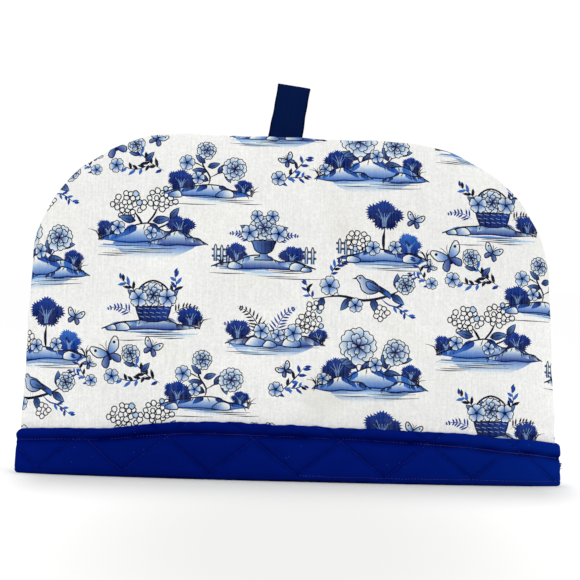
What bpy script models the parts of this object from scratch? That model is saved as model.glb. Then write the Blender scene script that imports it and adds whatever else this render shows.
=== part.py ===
"""Padded tea cosy standing on its hem: two arched panels, a quilted hem band and a ribbon loop.

The front faces -Y, +X is to its right and +Z is up. The origin lies on the surface that the cosy
stands on, below its middle. Sizes are in millimetres and become metres in make_object.
"""

import math

import bmesh
import bpy
import numpy as np

MM = 0.001
GAP = 0.3  # between neighbouring pieces

# Arched outline of a panel, seen from the front. Its sides lean in a little up to the shoulders,
# then turn through a quarter of an ellipse into a straight top.
PANEL_BOTTOM = 3.3
PANEL_HALF_WIDTH = 191.0
SIDE_TAPER = 8.0
SHOULDER_HEIGHT = 145.0
TOP_HEIGHT = 242.0
TOP_HALF_LENGTH = 73.0

# The cosy has settled a little out of true: its top leans to the left and falls to the right.
TOP_SHIFT = 2.8
TOP_SLOPE = 0.015

# Bulge of the walls. The half depth falls from the hem's middle to nothing at the seam.
HALF_DEPTH = 34.0
BULGE_FLATNESS = 2.3
BULGE_EDGE = 0.62
WALL = 6.0
SEAM_MARGIN = 7.0  # width of the seam, where the two walls lie against each other
RIPPLE = 0.9
RIPPLE_LENGTHS = (47.0, 39.0)
RIPPLE_PHASES = (0.7, -0.4)

# Mesh of a panel.
SEAM_STEPS = 60
RINGS = 13
RING_BIAS = 2.2

# Hem band: a strip folded round the walls' lower edges.
BAND_TOP = 33.6
BAND_RISE = 2.4  # how much higher its top edge lies in the middle than at the sides
BAND_THICKNESS = 3.0
INNER_LEG_TOP = 12.0
FOOT_EASE = 0.2
SIDE_EASE = 1.15  # offsets at the side seams, relative to those in the middle
INNER_SIDE_EASE = 2.2
QUILT_STEPS = 66  # along each side of the ring
STEPS_IN_DIAMOND = 10
QUILT_SHIFT = {"front": -4, "back": 1}  # steps from the middle to a crossing
STITCH_HEIGHT = 26.5
DIAMOND_DEPTH = 1.3
TOPSTITCH_DEPTH = 0.8
SIDE_STATIONS = (1.2, 2.6, 4.2)  # extra sections beside each side seam

# Ribbon loop, folded in half and held in the top seam.
RIBBON_WIDTH = 23.0
RIBBON_THICKNESS = 1.0
LOOP_LENGTH = 37.0
LOOP_BELLY = 4.3
LOOP_LEAN = math.radians(9.2)
LOOP_BASE_X = -4.9
TAIL_LENGTH = 8.5
LOOP_OPENS_AT = 2.2  # height above the seam where its two layers part
LOOP_STEPS = 44
RIBBON_SLOT = 1.3  # how far each wall stands back where the ribbon runs in
SLOT_HALF_WIDTH = 13.3
SLOT_RAMP = 3.2
SLOT_REACH = 0.12  # share of the panel, from the seam inwards, in which the slot fades

COLOURS = {
    "printed_cotton": (0.78, 0.80, 0.81, 1.0),
    "quilted_cotton": (0.003, 0.012, 0.14, 1.0),
    "ribbon": (0.004, 0.010, 0.055, 1.0),
}
ROUGHNESS = 0.85


def half_width(z, inset=0.0):
    """Half the panel's width at a height below the shoulders."""
    climb = (np.maximum(z, PANEL_BOTTOM) - PANEL_BOTTOM) / (SHOULDER_HEIGHT - PANEL_BOTTOM)
    return PANEL_HALF_WIDTH - inset - SIDE_TAPER * climb


def outline_reach(angle, inset=0.0):
    """Distance from the hem's middle to the outline, in a direction given by its angle from +X."""
    across = abs(math.cos(angle))
    up = max(math.sin(angle), 1e-9)
    shoulder = SHOULDER_HEIGHT - PANEL_BOTTOM
    side = (PANEL_HALF_WIDTH - inset) / (across + SIDE_TAPER / shoulder * up)
    if side * up <= shoulder:
        return side
    top = (TOP_HEIGHT - inset - PANEL_BOTTOM) / up
    if top * across <= TOP_HALF_LENGTH:
        return top
    corner_width = PANEL_HALF_WIDTH - SIDE_TAPER - TOP_HALF_LENGTH - inset
    corner_height = TOP_HEIGHT - SHOULDER_HEIGHT - inset
    a = (across / corner_width) ** 2 + (up / corner_height) ** 2
    b = across * TOP_HALF_LENGTH / corner_width**2 + up * shoulder / corner_height**2
    c = (TOP_HALF_LENGTH / corner_width) ** 2 + (shoulder / corner_height) ** 2 - 1
    return (b + math.sqrt(b * b - a * c)) / a


def ripple(x, z, ratio, side):
    """Soft unevenness of a wall, which fades towards the seam. The back's is the front's turned round."""
    across = math.sin(side * x / RIPPLE_LENGTHS[0] + RIPPLE_PHASES[0])
    upwards = math.cos(z / RIPPLE_LENGTHS[1] + RIPPLE_PHASES[1])
    return RIPPLE * across * upwards * (1 - ratio**2)


def bulge(ratio, drop=0.0):
    """Half depth at a share of the way from the hem's middle to the outline."""
    return (HALF_DEPTH - drop) * max(1 - min(ratio, 1.0) ** BULGE_FLATNESS, 0.0) ** BULGE_EDGE


def wall_depth(x, z, side, inset=0.0, drop=0.0):
    """Half depth of a wall at a place below the shoulders."""
    rise = max(z, PANEL_BOTTOM) - PANEL_BOTTOM
    ratio = math.hypot(x, rise) / outline_reach(math.atan2(rise, x), inset)
    return bulge(ratio, drop) + ripple(x, z, min(ratio, 1.0), side)


def slot_share(x, ratio):
    """1 where the ribbon runs through the seam, falling to 0 beside and below it."""
    beside = 1 - (abs(x - LOOP_BASE_X) - SLOT_HALF_WIDTH) / SLOT_RAMP
    below = 1 - (1 - ratio) / SLOT_REACH
    return min(max(beside, 0.0), 1.0) * min(max(below, 0.0), 1.0)


def seam_angles():
    """Directions to points spaced evenly along the arch, with closer ones beside the ribbon."""
    fine = np.linspace(0, math.pi, 4001)
    reach = np.array([outline_reach(angle) for angle in fine])
    points = np.stack([reach * np.cos(fine), reach * np.sin(fine)], 1)
    steps = np.linalg.norm(np.diff(points, axis=0), axis=1)
    along = np.concatenate([[0], np.cumsum(steps)])
    even = np.interp(np.linspace(0, along[-1], SEAM_STEPS + 1), along, fine)
    slot_edges = [
        math.atan2(TOP_HEIGHT - PANEL_BOTTOM, LOOP_BASE_X + way * offset)
        for way in (-1, 1)
        for offset in (SLOT_HALF_WIDTH, SLOT_HALF_WIDTH + SLOT_RAMP)
    ]
    apart = 0.4 * math.pi / SEAM_STEPS
    kept = [angle for angle in even if min(abs(angle - edge) for edge in slot_edges) > apart]
    return sorted(kept + slot_edges)


def wall_points(angles, ratios, side, inset, drop):
    """Rows of points from the seam to the hem's middle, where each row shrinks to one point."""
    rows = []
    for ratio in ratios:
        row = []
        for angle in angles:
            reach = ratio * outline_reach(angle, inset)
            x = reach * math.cos(angle)
            z = PANEL_BOTTOM + reach * math.sin(angle)
            stand_off = GAP / 2 + RIBBON_SLOT * slot_share(x, ratio)
            depth = stand_off + bulge(ratio, drop) + ripple(x, z, ratio, side)
            row.append((x, side * depth, z))
        rows.append(row)
    return rows


def settle(point):
    """Moves a point of the upright, even cosy to where it lies once the cosy has settled."""
    climb = point.z / TOP_HEIGHT
    point.z -= TOP_SLOPE * point.x * climb * abs(climb)
    point.x -= TOP_SHIFT * climb


def make_object(name, mesh_builder, material):
    """Turns a bmesh in millimetres into a named object in metres."""
    for vertex in mesh_builder.verts:
        settle(vertex.co)
    bmesh.ops.remove_doubles(mesh_builder, verts=mesh_builder.verts, dist=1e-5)
    bmesh.ops.recalc_face_normals(mesh_builder, faces=mesh_builder.faces)
    bmesh.ops.scale(mesh_builder, vec=(MM, MM, MM), verts=mesh_builder.verts)
    mesh = bpy.data.meshes.new(name)
    mesh_builder.to_mesh(mesh)
    mesh_builder.free()
    mesh.shade_smooth()
    mesh.materials.append(material)
    made = bpy.data.objects.new(name, mesh)
    bpy.context.scene.collection.objects.link(made)
    return made


def cloth_material(name):
    """Matt cloth in one colour."""
    material = bpy.data.materials.new(name)
    material.use_nodes = True
    shader = material.node_tree.nodes["Principled BSDF"]
    shader.inputs["Base Color"].default_value = COLOURS[name]
    shader.inputs["Roughness"].default_value = ROUGHNESS
    shader.inputs["Metallic"].default_value = 0.0
    return material


def join_rows(builder, upper, lower):
    """Faces between two rows of vertices, with no face where both ends meet in one vertex."""
    for step in range(len(upper) - 1):
        corners = [upper[step], upper[step + 1], lower[step + 1], lower[step]]
        builder.faces.new(list(dict.fromkeys(corners)))


def make_panel(name, side, material):
    """One padded wall: an outer and an inner face, joined along the seam and the lower edge."""
    builder = bmesh.new()
    angles = seam_angles()
    ratios = [1 - (ring / RINGS) ** RING_BIAS for ring in range(RINGS)]
    faces = []
    for inset, drop in ((0.0, 0.0), (SEAM_MARGIN, WALL)):
        rows = [
            [builder.verts.new(point) for point in row]
            for row in wall_points(angles, ratios, side, inset, drop)
        ]
        middle_depth = GAP / 2 + bulge(0.0, drop) + ripple(0.0, PANEL_BOTTOM, 0.0, side)
        middle = builder.verts.new((0.0, side * middle_depth, PANEL_BOTTOM))
        rows.append([middle] * len(angles))
        for upper, lower in zip(rows, rows[1:]):
            join_rows(builder, upper, lower)
        faces.append(rows)
    outer, inner = faces
    join_rows(builder, outer[0], inner[0])
    for end in (0, -1):
        join_rows(builder, [row[end] for row in outer], [row[end] for row in inner])
    return make_object(name, builder, material)


def band_fractions():
    """Places round one side of the hem, as shares of the half width from -1 to 1, and their steps.

    They lie at even distances along the cloth, so that the quilting's slanted lines pass through
    them, with closer ones beside the side seams.
    """
    turn = np.linspace(0, math.pi, 4001)
    share = -np.sign(np.cos(turn)) * np.abs(np.cos(turn)) ** (2 / BULGE_FLATNESS)
    x = share * PANEL_HALF_WIDTH
    y = np.array([bulge(abs(value)) for value in share])
    along = np.concatenate([[0], np.cumsum(np.hypot(np.diff(x), np.diff(y)))])
    length = along[-1]
    step = length / QUILT_STEPS
    extra = [place for gap in SIDE_STATIONS for place in (gap, length - gap)]
    places = np.array(sorted([index * step for index in range(QUILT_STEPS + 1)] + extra))
    return np.interp(places, along, share), places / step - QUILT_STEPS / 2


def diamond_groove(step, z, side_name):
    """1 on a slanted line of quilting, falling to 0 one step away from it."""
    step_length = 6.0
    shifted = step - QUILT_SHIFT[side_name]
    rise = (z - STITCH_HEIGHT) / step_length
    nearest = 1.0
    for way in (-1, 1):
        phase = (shifted + way * rise) / STEPS_IN_DIAMOND
        nearest = min(nearest, abs(phase - round(phase)) * STEPS_IN_DIAMOND)
    return 1 - nearest


def band_top(share):
    """Height of the band's folded top edge, which rises towards the middle and wavers a little."""
    waver = 0.35 * math.sin(9.0 * share) + 0.25 * math.sin(23.0 * share)
    return BAND_TOP + BAND_RISE * (1 - share**2) + waver * (1 - share**2)


def band_section(share, step, side, side_name):
    """Closed section of the band: down outside, under the walls, up inside and back."""
    top = band_top(share)
    rows = [("outer", 1.7, top), ("outer", 2.7, top - 0.9), ("outer", BAND_THICKNESS + GAP, top - 3.0)]
    for index in range(4):
        z = STITCH_HEIGHT - 6.0 * index
        groove = DIAMOND_DEPTH * diamond_groove(step, z, side_name)
        if index == 0:
            groove = max(groove, TOPSTITCH_DEPTH)
        rows.append(("outer", BAND_THICKNESS + GAP - groove, z))
    rows += [
        ("outer", BAND_THICKNESS, 3.6),
        ("outer", 1.9, 0.9),
        ("outer", FOOT_EASE, 0.0),
        ("inner", FOOT_EASE, 0.0),
        ("inner", 1.8, 0.9),
        ("inner", 2.4, PANEL_BOTTOM - GAP),
        ("inner", 2.4, INNER_LEG_TOP - 1.5),
        ("inner", 1.4, INNER_LEG_TOP),
        ("inner", 0.5, INNER_LEG_TOP - 0.8),
        ("inner", GAP, PANEL_BOTTOM - GAP),
        ("outer", GAP, PANEL_BOTTOM - GAP),
        ("outer", GAP, STITCH_HEIGHT - 9.0),
        ("outer", GAP, top - 2.4),
        ("outer", 0.7, top - 0.5),
    ]
    section = []
    for face, offset, z in rows:
        if face == "outer":
            inset, drop = -SIDE_EASE * offset, -offset
        else:
            inset, drop = SEAM_MARGIN + INNER_SIDE_EASE * offset, WALL + offset
        x = share * half_width(z, inset)
        depth = wall_depth(x, z, side, inset, drop)
        section.append((x, side * (depth + GAP / 2) if abs(share) < 1 else 0.0, z))
    return section


def join_sections(builder, section, following):
    """Triangles between two closed sections, folded along the side that lies deeper."""
    count = len(section)
    for corner in range(count):
        a, b = section[corner], section[(corner + 1) % count]
        c, d = following[(corner + 1) % count], following[corner]
        if abs(a.co.y + c.co.y) < abs(b.co.y + d.co.y):
            builder.faces.new((a, b, c))
            builder.faces.new((a, c, d))
        else:
            builder.faces.new((a, b, d))
            builder.faces.new((b, c, d))


def make_band(name, material):
    """The ring round both walls, made of sections joined one to the next."""
    builder = bmesh.new()
    shares, steps = band_fractions()
    sections = []
    for side, side_name, way in ((-1, "front", 1), (1, "back", -1)):
        for share, step in list(zip(shares, steps))[:-1]:
            sections.append(band_section(way * share, way * step, side, side_name))
    rings = [[builder.verts.new(point) for point in section] for section in sections]
    for ring, following in zip(rings, rings[1:] + rings[:1]):
        join_sections(builder, ring, following)
    return make_object(name, builder, material)


def loop_centreline():
    """Side view of the loop: (depth, height above the seam) from the front end to the back end."""
    tail_offset = GAP / 2 + RIBBON_THICKNESS / 2
    points = [(-tail_offset, -TAIL_LENGTH), (-tail_offset, 0.0)]
    for step in range(LOOP_STEPS + 1):
        turn = 2 * math.pi * step / LOOP_STEPS
        height = LOOP_OPENS_AT + (LOOP_LENGTH - LOOP_OPENS_AT) * (1 - math.cos(turn)) / 2
        belly = LOOP_BELLY * math.sin(turn) * abs(math.sin(turn / 2))
        closing = tail_offset * (1 + math.cos(turn)) / 2
        points.append((-belly - (closing if turn < math.pi else -closing), height))
    points += [(tail_offset, 0.0), (tail_offset, -TAIL_LENGTH)]
    return np.array(points)


def make_loop(name, material):
    """A strip of ribbon that follows the centreline, leaning to the right."""
    builder = bmesh.new()
    centre = loop_centreline()
    tangent = np.gradient(centre, axis=0)
    tangent /= np.linalg.norm(tangent, axis=1)[:, None]
    normal = np.stack([-tangent[:, 1], tangent[:, 0]], 1)
    lean, rise = math.sin(LOOP_LEAN), math.cos(LOOP_LEAN)
    rows = []
    for edge in (-RIBBON_WIDTH / 2, RIBBON_WIDTH / 2):
        for way in (-1, 1) if edge < 0 else (1, -1):
            row = []
            for depth, height in centre + way * normal * RIBBON_THICKNESS / 2:
                x = LOOP_BASE_X + height * lean + edge * rise
                z = TOP_HEIGHT + height * rise - edge * lean
                row.append(builder.verts.new((x, depth, z)))
            rows.append(row)
    for row, following in zip(rows, rows[1:] + rows[:1]):
        join_rows(builder, row, following)
    for end in (0, -1):
        builder.faces.new([row[end] for row in rows])
    return make_object(name, builder, material)


def main():
    for old in list(bpy.data.objects):
        bpy.data.objects.remove(old, do_unlink=True)
    printed = cloth_material("printed_cotton")
    make_panel("front_panel", -1, printed)
    make_panel("back_panel", 1, printed)
    make_band("hem_band", cloth_material("quilted_cotton"))
    make_loop("ribbon_loop", cloth_material("ribbon"))


main()
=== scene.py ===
# %% [markdown]
# # A padded tea cosy in printed cotton
# This lesson dresses the plain solids of a tea cosy in cloth. The cosy stands on its hem. It has two
# arched, padded walls of white cotton with a blue print, a quilted blue band round the hem, and a loop
# of navy ribbon sewn into the top seam.
#
# The solids come from a CAD model, the frame, and each dressed piece stands for one of them. The
# lesson repeats the few functions that shape the solids, so that the cloth lies exactly on them, and
# then adds what only cloth has: puckers, creases, stitches, threads and print.

# %% Load the frame
import math
import bpy
import numpy as np
from mathutils import Matrix, Vector
from mathutils.geometry import delaunay_2d_cdt


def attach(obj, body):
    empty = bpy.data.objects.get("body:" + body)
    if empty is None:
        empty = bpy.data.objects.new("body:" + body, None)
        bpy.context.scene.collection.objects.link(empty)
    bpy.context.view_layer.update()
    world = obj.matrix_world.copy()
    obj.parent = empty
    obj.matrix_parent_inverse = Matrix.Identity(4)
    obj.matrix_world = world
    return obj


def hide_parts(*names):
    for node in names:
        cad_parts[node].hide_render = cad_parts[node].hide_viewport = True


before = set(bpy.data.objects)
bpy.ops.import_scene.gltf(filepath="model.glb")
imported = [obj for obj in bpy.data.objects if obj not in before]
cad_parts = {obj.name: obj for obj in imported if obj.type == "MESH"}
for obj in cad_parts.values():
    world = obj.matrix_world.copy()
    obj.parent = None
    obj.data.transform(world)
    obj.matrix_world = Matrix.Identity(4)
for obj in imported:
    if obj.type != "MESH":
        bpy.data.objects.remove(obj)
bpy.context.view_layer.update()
print("solids in the frame:", sorted(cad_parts))

# %% [markdown]
# ## The camera
# The picture was taken from far away, straight on to the front and a little above the hem. A long
# lens at 3.5 m gives the same flat view. The camera is turned by a degree and a half about its own
# line of sight, because the cosy lies a little askew in the frame of the picture.

# %% Camera
VIEW_DISTANCE = 3.5
VIEW_WIDTH = 0.4112
VIEW_RISE = math.radians(0.7)
VIEW_ROLL = math.radians(1.45)
aim = Vector((-0.0016, 0.0, 0.1342))
camera_data = bpy.data.cameras.new("cosy_camera")
camera_data.sensor_width = 36.0
camera_data.lens = 36.0 * VIEW_DISTANCE / VIEW_WIDTH
camera_data.clip_end = 60.0
camera = bpy.data.objects.new("cosy_camera", camera_data)
bpy.context.scene.collection.objects.link(camera)
camera.location = aim + VIEW_DISTANCE * Vector((0, -math.cos(VIEW_RISE), math.sin(VIEW_RISE)))
level = (aim - camera.location).to_track_quat("-Z", "Y").to_matrix()
rolled = level @ Matrix.Rotation(VIEW_ROLL, 3, "Z")
camera.rotation_euler = rolled.to_euler()
bpy.context.scene.camera = camera
print("lens", round(camera_data.lens, 1), "mm")

# %% [markdown]
# ## The shape of the walls
# Every piece follows one shape. Seen from the front, a wall is an arch: its sides lean in a little up
# to the shoulders and turn through a quarter of an ellipse into a straight top. Seen from above, it
# bulges like a cushion, deep in the middle and falling to nothing at the seam.
#
# A place on a wall is given by a direction from the middle of the hem and a share of the way to the
# seam, from 0 to 1. All sizes are in millimetres until a mesh is made. The functions take whole
# arrays, because NumPy is far quicker than a loop over a hundred thousand points.

# %% Sizes of the arch
MM = 0.001
GAP = 0.3
BOTTOM = 3.3
HALF_WIDTH = 191.0
TAPER = 8.0
SHOULDER = 145.0
TOP = 242.0
FLAT_TOP = 73.0
TOP_SHIFT = 2.8
TOP_SLOPE = 0.015
HALF_DEPTH = 34.0
FLATNESS = 2.3
EDGE_POWER = 0.62
WALL = 6.0
SEAM_MARGIN = 7.0
MEAN_REACH = 215.0
RIPPLE_HEIGHT = 0.9
RIPPLE_ACROSS = 47.0
RIPPLE_UP = 39.0
HEM_LIFT = 0.6
LIFT_REACH = 90.0
print("a wall:", 2 * HALF_WIDTH, "mm wide,", TOP, "mm high and", HALF_DEPTH, "mm deep")


# %% Two soft shapes that all the pieces use
def bell(distance, width):
    """1 at no distance, falling softly to almost 0 at twice the width."""
    return np.exp(-((distance / width) ** 2))


def waves(run, *parts):
    """A waver made of sine waves, each given by its height, its pace and where it starts."""
    return sum(height * np.sin(pace * run + start) for height, pace, start in parts)


# %% The arch's outline
def half_width(z, inset=0.0):
    """Half the width of a wall at a height below the shoulders."""
    climb = (np.maximum(z, BOTTOM) - BOTTOM) / (SHOULDER - BOTTOM)
    return HALF_WIDTH - inset - TAPER * climb


def outline_reach(angle, inset=0.0):
    """Distance from the middle of the hem to the seam, in each direction."""
    across = np.abs(np.cos(angle))
    up = np.maximum(np.sin(angle), 1e-9)
    rise = SHOULDER - BOTTOM
    side = (HALF_WIDTH - inset) / (across + TAPER / rise * up)
    flat = (TOP - inset - BOTTOM) / up
    wide = HALF_WIDTH - TAPER - FLAT_TOP - inset
    high = TOP - SHOULDER - inset
    a = (across / wide) ** 2 + (up / high) ** 2
    b = across * FLAT_TOP / wide**2 + up * rise / high**2
    c = (FLAT_TOP / wide) ** 2 + (rise / high) ** 2 - 1
    corner = (b + np.sqrt(np.maximum(b * b - a * c, 0.0))) / a
    above = np.where(flat * across <= FLAT_TOP, flat, corner)
    return np.where(side * up <= rise, side, above)


# %% The bulge, the ripple and the way the cosy has settled
def bulge(ratio, drop=0.0):
    """Half depth at a share of the way from the middle of the hem to the seam."""
    left = np.maximum(1 - np.minimum(ratio, 1.0) ** FLATNESS, 0.0)
    return (HALF_DEPTH - drop) * left**EDGE_POWER


def ripple(x, z, ratio, side):
    """Soft unevenness that fades towards the seam."""
    across = np.sin(side * x / RIPPLE_ACROSS + 0.7)
    upwards = np.cos(z / RIPPLE_UP - 0.4)
    return RIPPLE_HEIGHT * across * upwards * (1 - ratio**2)


def wall_depth(x, z, side, inset=0.0, drop=0.0):
    """Half depth of a wall at a place seen from the front."""
    rise = np.maximum(z, BOTTOM) - BOTTOM
    reach = outline_reach(np.arctan2(rise, x), inset)
    ratio = np.minimum(np.hypot(x, rise) / reach, 1.0)
    return bulge(ratio, drop) + ripple(x, z, ratio, side)


def settled(points):
    """Leans the top to the left and lets it fall to the right, as on the solids.

    The hem also rises a little between its two ends, which only the cloth does.
    """
    moved = np.array(points, float)
    climb = moved[..., 2] / TOP
    share = moved[..., 0] / HALF_WIDTH
    waver = waves(share, (0.2, 11.0, 0.6), (0.12, 29.0, 0.0), (0.1, 67.0, 1.0))
    arch = (HEM_LIFT + waver) * np.clip(1 - share**2, 0, 1)
    tuck = 0.9 * bell(moved[..., 0] + 179.0, 1.7) * bell(moved[..., 2], 6.0)
    moved[..., 2] += arch * bell(moved[..., 2], LIFT_REACH) + tuck
    moved[..., 2] -= TOP_SLOPE * moved[..., 0] * climb * np.abs(climb)
    moved[..., 0] -= TOP_SHIFT * climb
    return moved


# %% The slot that the ribbon runs through
RIBBON_X = -4.9
SLOT_DEPTH = 1.3
SLOT_HALF_WIDTH = 13.3
SLOT_FADE = 3.2
SLOT_REACH = 0.12


def slot_share(x, ratio):
    """1 where the ribbon runs through the seam, falling to 0 beside and below it."""
    beside = 1 - (np.abs(x - RIBBON_X) - SLOT_HALF_WIDTH) / SLOT_FADE
    below = 1 - (1 - ratio) / SLOT_REACH
    return np.clip(beside, 0, 1) * np.clip(below, 0, 1)


print("seam height above the hem's middle:", round(float(outline_reach(math.pi / 2)), 1), "mm")

# %% [markdown]
# ## Making cloth look sewn
# Real cloth is never as even as a formula. Three helpers give it life. `soft_noise` adds up slow
# waves in random directions for a gentle waver without a pattern. `fold` raises or sinks the cloth
# along a short line, so each crease can be placed one by one. `seam_pucker` draws the cloth up in small
# gathers beside the seam, where the thread holds it.

# %% Soft noise, folds and puckers
PUCKER_HEIGHT = 0.22


def soft_noise(x, z, scale, seed, waves=7):
    """A smooth waver between about -1 and 1, whose bumps are about `scale` mm apart."""
    hand = np.random.default_rng(seed)
    total = np.zeros(np.broadcast(x, z).shape)
    for _ in range(waves):
        turn = hand.uniform(0, 2 * math.pi)
        length = scale * hand.uniform(0.7, 1.6)
        phase = hand.uniform(0, 2 * math.pi)
        run = (x * math.cos(turn) + z * math.sin(turn)) * 2 * math.pi / length
        total = total + np.sin(run + phase)
    return total / math.sqrt(waves)


def fold(x, z, start, end, width, height):
    """A soft ridge, or a trough where the height is negative, from one point to another."""
    along = np.array([end[0] - start[0], end[1] - start[1]], float)
    length = float(np.hypot(*along))
    along /= length
    run = (x - start[0]) * along[0] + (z - start[1]) * along[1]
    off = (x - start[0]) * -along[1] + (z - start[1]) * along[0]
    bend = 0.06 * length * np.sin(np.clip(run / length, 0, 1) * math.pi)
    fade = np.sin(np.clip(run / length, 0, 1) * math.pi) ** 0.8
    return height * fade * bell(off - bend, width)


def seam_pucker(angle, ratio):
    """Small gathers along the seam, in mm of depth."""
    run = angle * MEAN_REACH
    wave = np.sin(run / 1.55 + 1.6 * np.sin(run / 17.0)) + 0.6 * np.sin(run / 2.9 + 1.0)
    window = np.clip((ratio - 0.90) / 0.07, 0, 1) * np.clip((1 - ratio) / 0.012, 0, 1)
    return PUCKER_HEIGHT * wave * window


# %% Creases, given one by one: start, end, width and height, in mm seen from the front
WALL_FOLDS = {
    "front": [
        ((-180, 112), (-150, 98), 3.2, -0.9),
        ((-176, 121), (-158, 110), 2.2, 0.6),
        ((62, 205), (78, 150), 6.5, 0.7),
        ((84, 210), (98, 158), 5.5, -0.7),
        ((22, 78), (34, 44), 9.0, -0.9),
        ((-60, 92), (-38, 40), 8.0, 0.6),
        ((118, 86), (150, 46), 6.0, -0.7),
        ((-120, 190), (-92, 214), 6.0, 0.6),
        ((128, 196), (150, 166), 5.0, 0.7),
        ((-20, 214), (-32, 190), 5.0, -0.6),
        ((14, 216), (22, 192), 5.0, -0.6),
        ((-141, 40), (-139, 31), 1.3, 0.7),
        ((-136, 41), (-135, 31), 1.2, -0.6),
        ((-132, 40), (-131, 31), 1.1, 0.5),
        ((60, 44), (61, 33), 1.6, -0.5),
        ((96, 43), (95, 32), 1.4, 0.5),
    ],
    "back": [
        ((150, 104), (176, 116), 3.0, -0.8),
        ((-84, 208), (-96, 150), 6.0, 0.7),
        ((-30, 80), (-44, 42), 8.0, -0.8),
        ((66, 92), (44, 42), 8.0, 0.6),
        ((-130, 84), (-152, 44), 6.0, -0.7),
        ((110, 196), (92, 216), 6.0, 0.6),
        ((8, 214), (20, 190), 5.0, -0.6),
        ((120, 42), (119, 32), 1.4, 0.6),
        ((-70, 43), (-71, 32), 1.5, -0.5),
    ],
}
print("creases placed by hand:", {side_name: len(folds) for side_name, folds in WALL_FOLDS.items()})
SIDES = {"front": -1, "back": 1}
LUMP_HEIGHT = 0.30
LUMP_SPACING = 46.0
SMALL_LUMP_HEIGHT = 0.10
SMALL_LUMP_SPACING = 15.0
FOLD_STRENGTH = 1.5


def wall_relief(x, z, side_name):
    """Padding lumps and creases of one wall, in mm outwards."""
    seed = 11 if side_name == "front" else 23
    relief = LUMP_HEIGHT * soft_noise(x, z, LUMP_SPACING, seed)
    relief = relief + SMALL_LUMP_HEIGHT * soft_noise(x, z, SMALL_LUMP_SPACING, seed + 1)
    for start, end, width, height in WALL_FOLDS[side_name]:
        relief = relief + FOLD_STRENGTH * fold(x, z, start, end, width, height)
    return relief


# %% A point on the outside of a wall
def wall_point(angle, ratio, side_name):
    """Where the cloth lies, in mm, for a direction and a share of the way to the seam."""
    side = SIDES[side_name]
    run = angle * MEAN_REACH
    waver = 0.35 * np.sin(run / 9.0 + 2.0 * np.sin(run / 40.0)) + 0.2 * np.sin(run / 3.7)
    waver = waver * np.clip(np.sin(angle) / 0.12, 0, 1)
    reach = outline_reach(angle) + waver * ratio**8
    x = ratio * reach * np.cos(angle)
    z = BOTTOM + ratio * reach * np.sin(angle)
    inner = np.clip((1 - ratio) / 0.05, 0, 1)
    depth = GAP / 2 + SLOT_DEPTH * slot_share(x, ratio) + bulge(ratio) + ripple(x, z, ratio, side)
    depth = depth + wall_relief(x, z, side_name) * inner + seam_pucker(angle, ratio)
    depth = np.maximum(depth, GAP / 2)
    return settled(np.stack([x, side * depth, z], -1))


# %% [markdown]
# ## Flat cloth on a round wall
# The print is drawn on flat cloth, as a printer would, and the cloth is then laid on the wall. It is
# measured from the middle of the hem: a direction, and a distance along the cloth. The distance is a
# little longer than the straight one because the cloth runs over the bulge, and `EXTRA` holds how
# much longer. Going back from a distance to a share of the way is done by halving the interval
# forty times, which is simple and always works. `MEAN_REACH` is the usual distance from the middle
# of the hem to the seam.

# %% From flat cloth to the wall
SHARES = np.linspace(0, 1, 6001)
rise_steps = np.diff(bulge(SHARES))
run_steps = np.diff(SHARES) * MEAN_REACH
EXTRA = np.concatenate([[0.0], np.cumsum(np.hypot(rise_steps, run_steps) - run_steps)])


def share_of_cloth(u, v):
    """Direction and share of the way to the seam for points of the flat cloth."""
    angle = np.arctan2(np.maximum(v, 0.0), u)
    distance = np.hypot(u, np.maximum(v, 0.0))
    reach = outline_reach(angle)
    low = np.zeros_like(distance)
    high = np.ones_like(distance)
    for _ in range(40):
        middle = (low + high) / 2
        beyond = reach * middle + np.interp(middle, SHARES, EXTRA) > distance
        high = np.where(beyond, middle, high)
        low = np.where(beyond, low, middle)
    return angle, (low + high) / 2


def lay_cloth(u, v, side_name):
    """Points of the flat cloth laid on a wall. The print reads the right way round on both walls."""
    angle, ratio = share_of_cloth(u, v)
    if side_name == "back":
        angle = math.pi - angle
    return wall_point(angle, ratio, side_name)


# %% The cut edge of the flat cloth
def distances(line):
    """Distance along a line to each of its points."""
    return np.concatenate([[0], np.cumsum(np.hypot(*np.diff(line, axis=0).T))])


def points_along(line, places):
    """Points of a line at distances along it."""
    along = distances(line)
    return np.stack([np.interp(places, along, line[:, 0]), np.interp(places, along, line[:, 1])], -1)


def flat_edge(spacing):
    """The cut edge of the flat cloth: round the arch from right to left and back along the hem."""
    fine = np.linspace(0, math.pi, 6001)
    reach = outline_reach(fine) + EXTRA[-1]
    line = np.stack([reach * np.cos(fine), reach * np.sin(fine)], 1)
    length = distances(line)[-1]
    arch = points_along(line, np.linspace(0, length, int(length / spacing)))
    arch[[0, -1], 1] = 0.0
    hem = np.linspace(arch[-1, 0], arch[0, 0], int(2 * HALF_WIDTH / 5.0))[1:-1]
    return np.concatenate([arch, np.stack([hem, np.zeros(len(hem))], 1)])


cut_edge = flat_edge(2.0)
cut_width = float(np.ptp(cut_edge[:, 0]))
cut_height = float(np.ptp(cut_edge[:, 1]))
print("flat wall cloth:", round(cut_width), "x", round(cut_height), "mm")

# %% [markdown]
# ## Drawing the print
# The cloth of the real cosy is printed with small blue scenes, drawn with a pen and filled with
# washes. This lesson draws a garden print of its own in the same blues and at the same scale: flowers,
# berries, ferns, urns, baskets, birds and butterflies on grassy banks.
#
# Each shape is a polygon on a page. It has two inks, one at each end of a line, and the wash turns
# from the first to the second. Shapes drawn later lie on top. An outlined shape is drawn twice: a
# slightly larger one in ink, and a slightly smaller one with its wash.

# %% Inks
def ink_colour(red, green, blue):
    """The share of light that a print colour, given from 0 to 255, leaves on the white cloth."""
    level = np.array([red, green, blue], float) / 236.0
    return np.minimum(np.where(level <= 0.04045, level / 12.92, ((level + 0.055) / 1.055) ** 2.4), 1)


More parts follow.
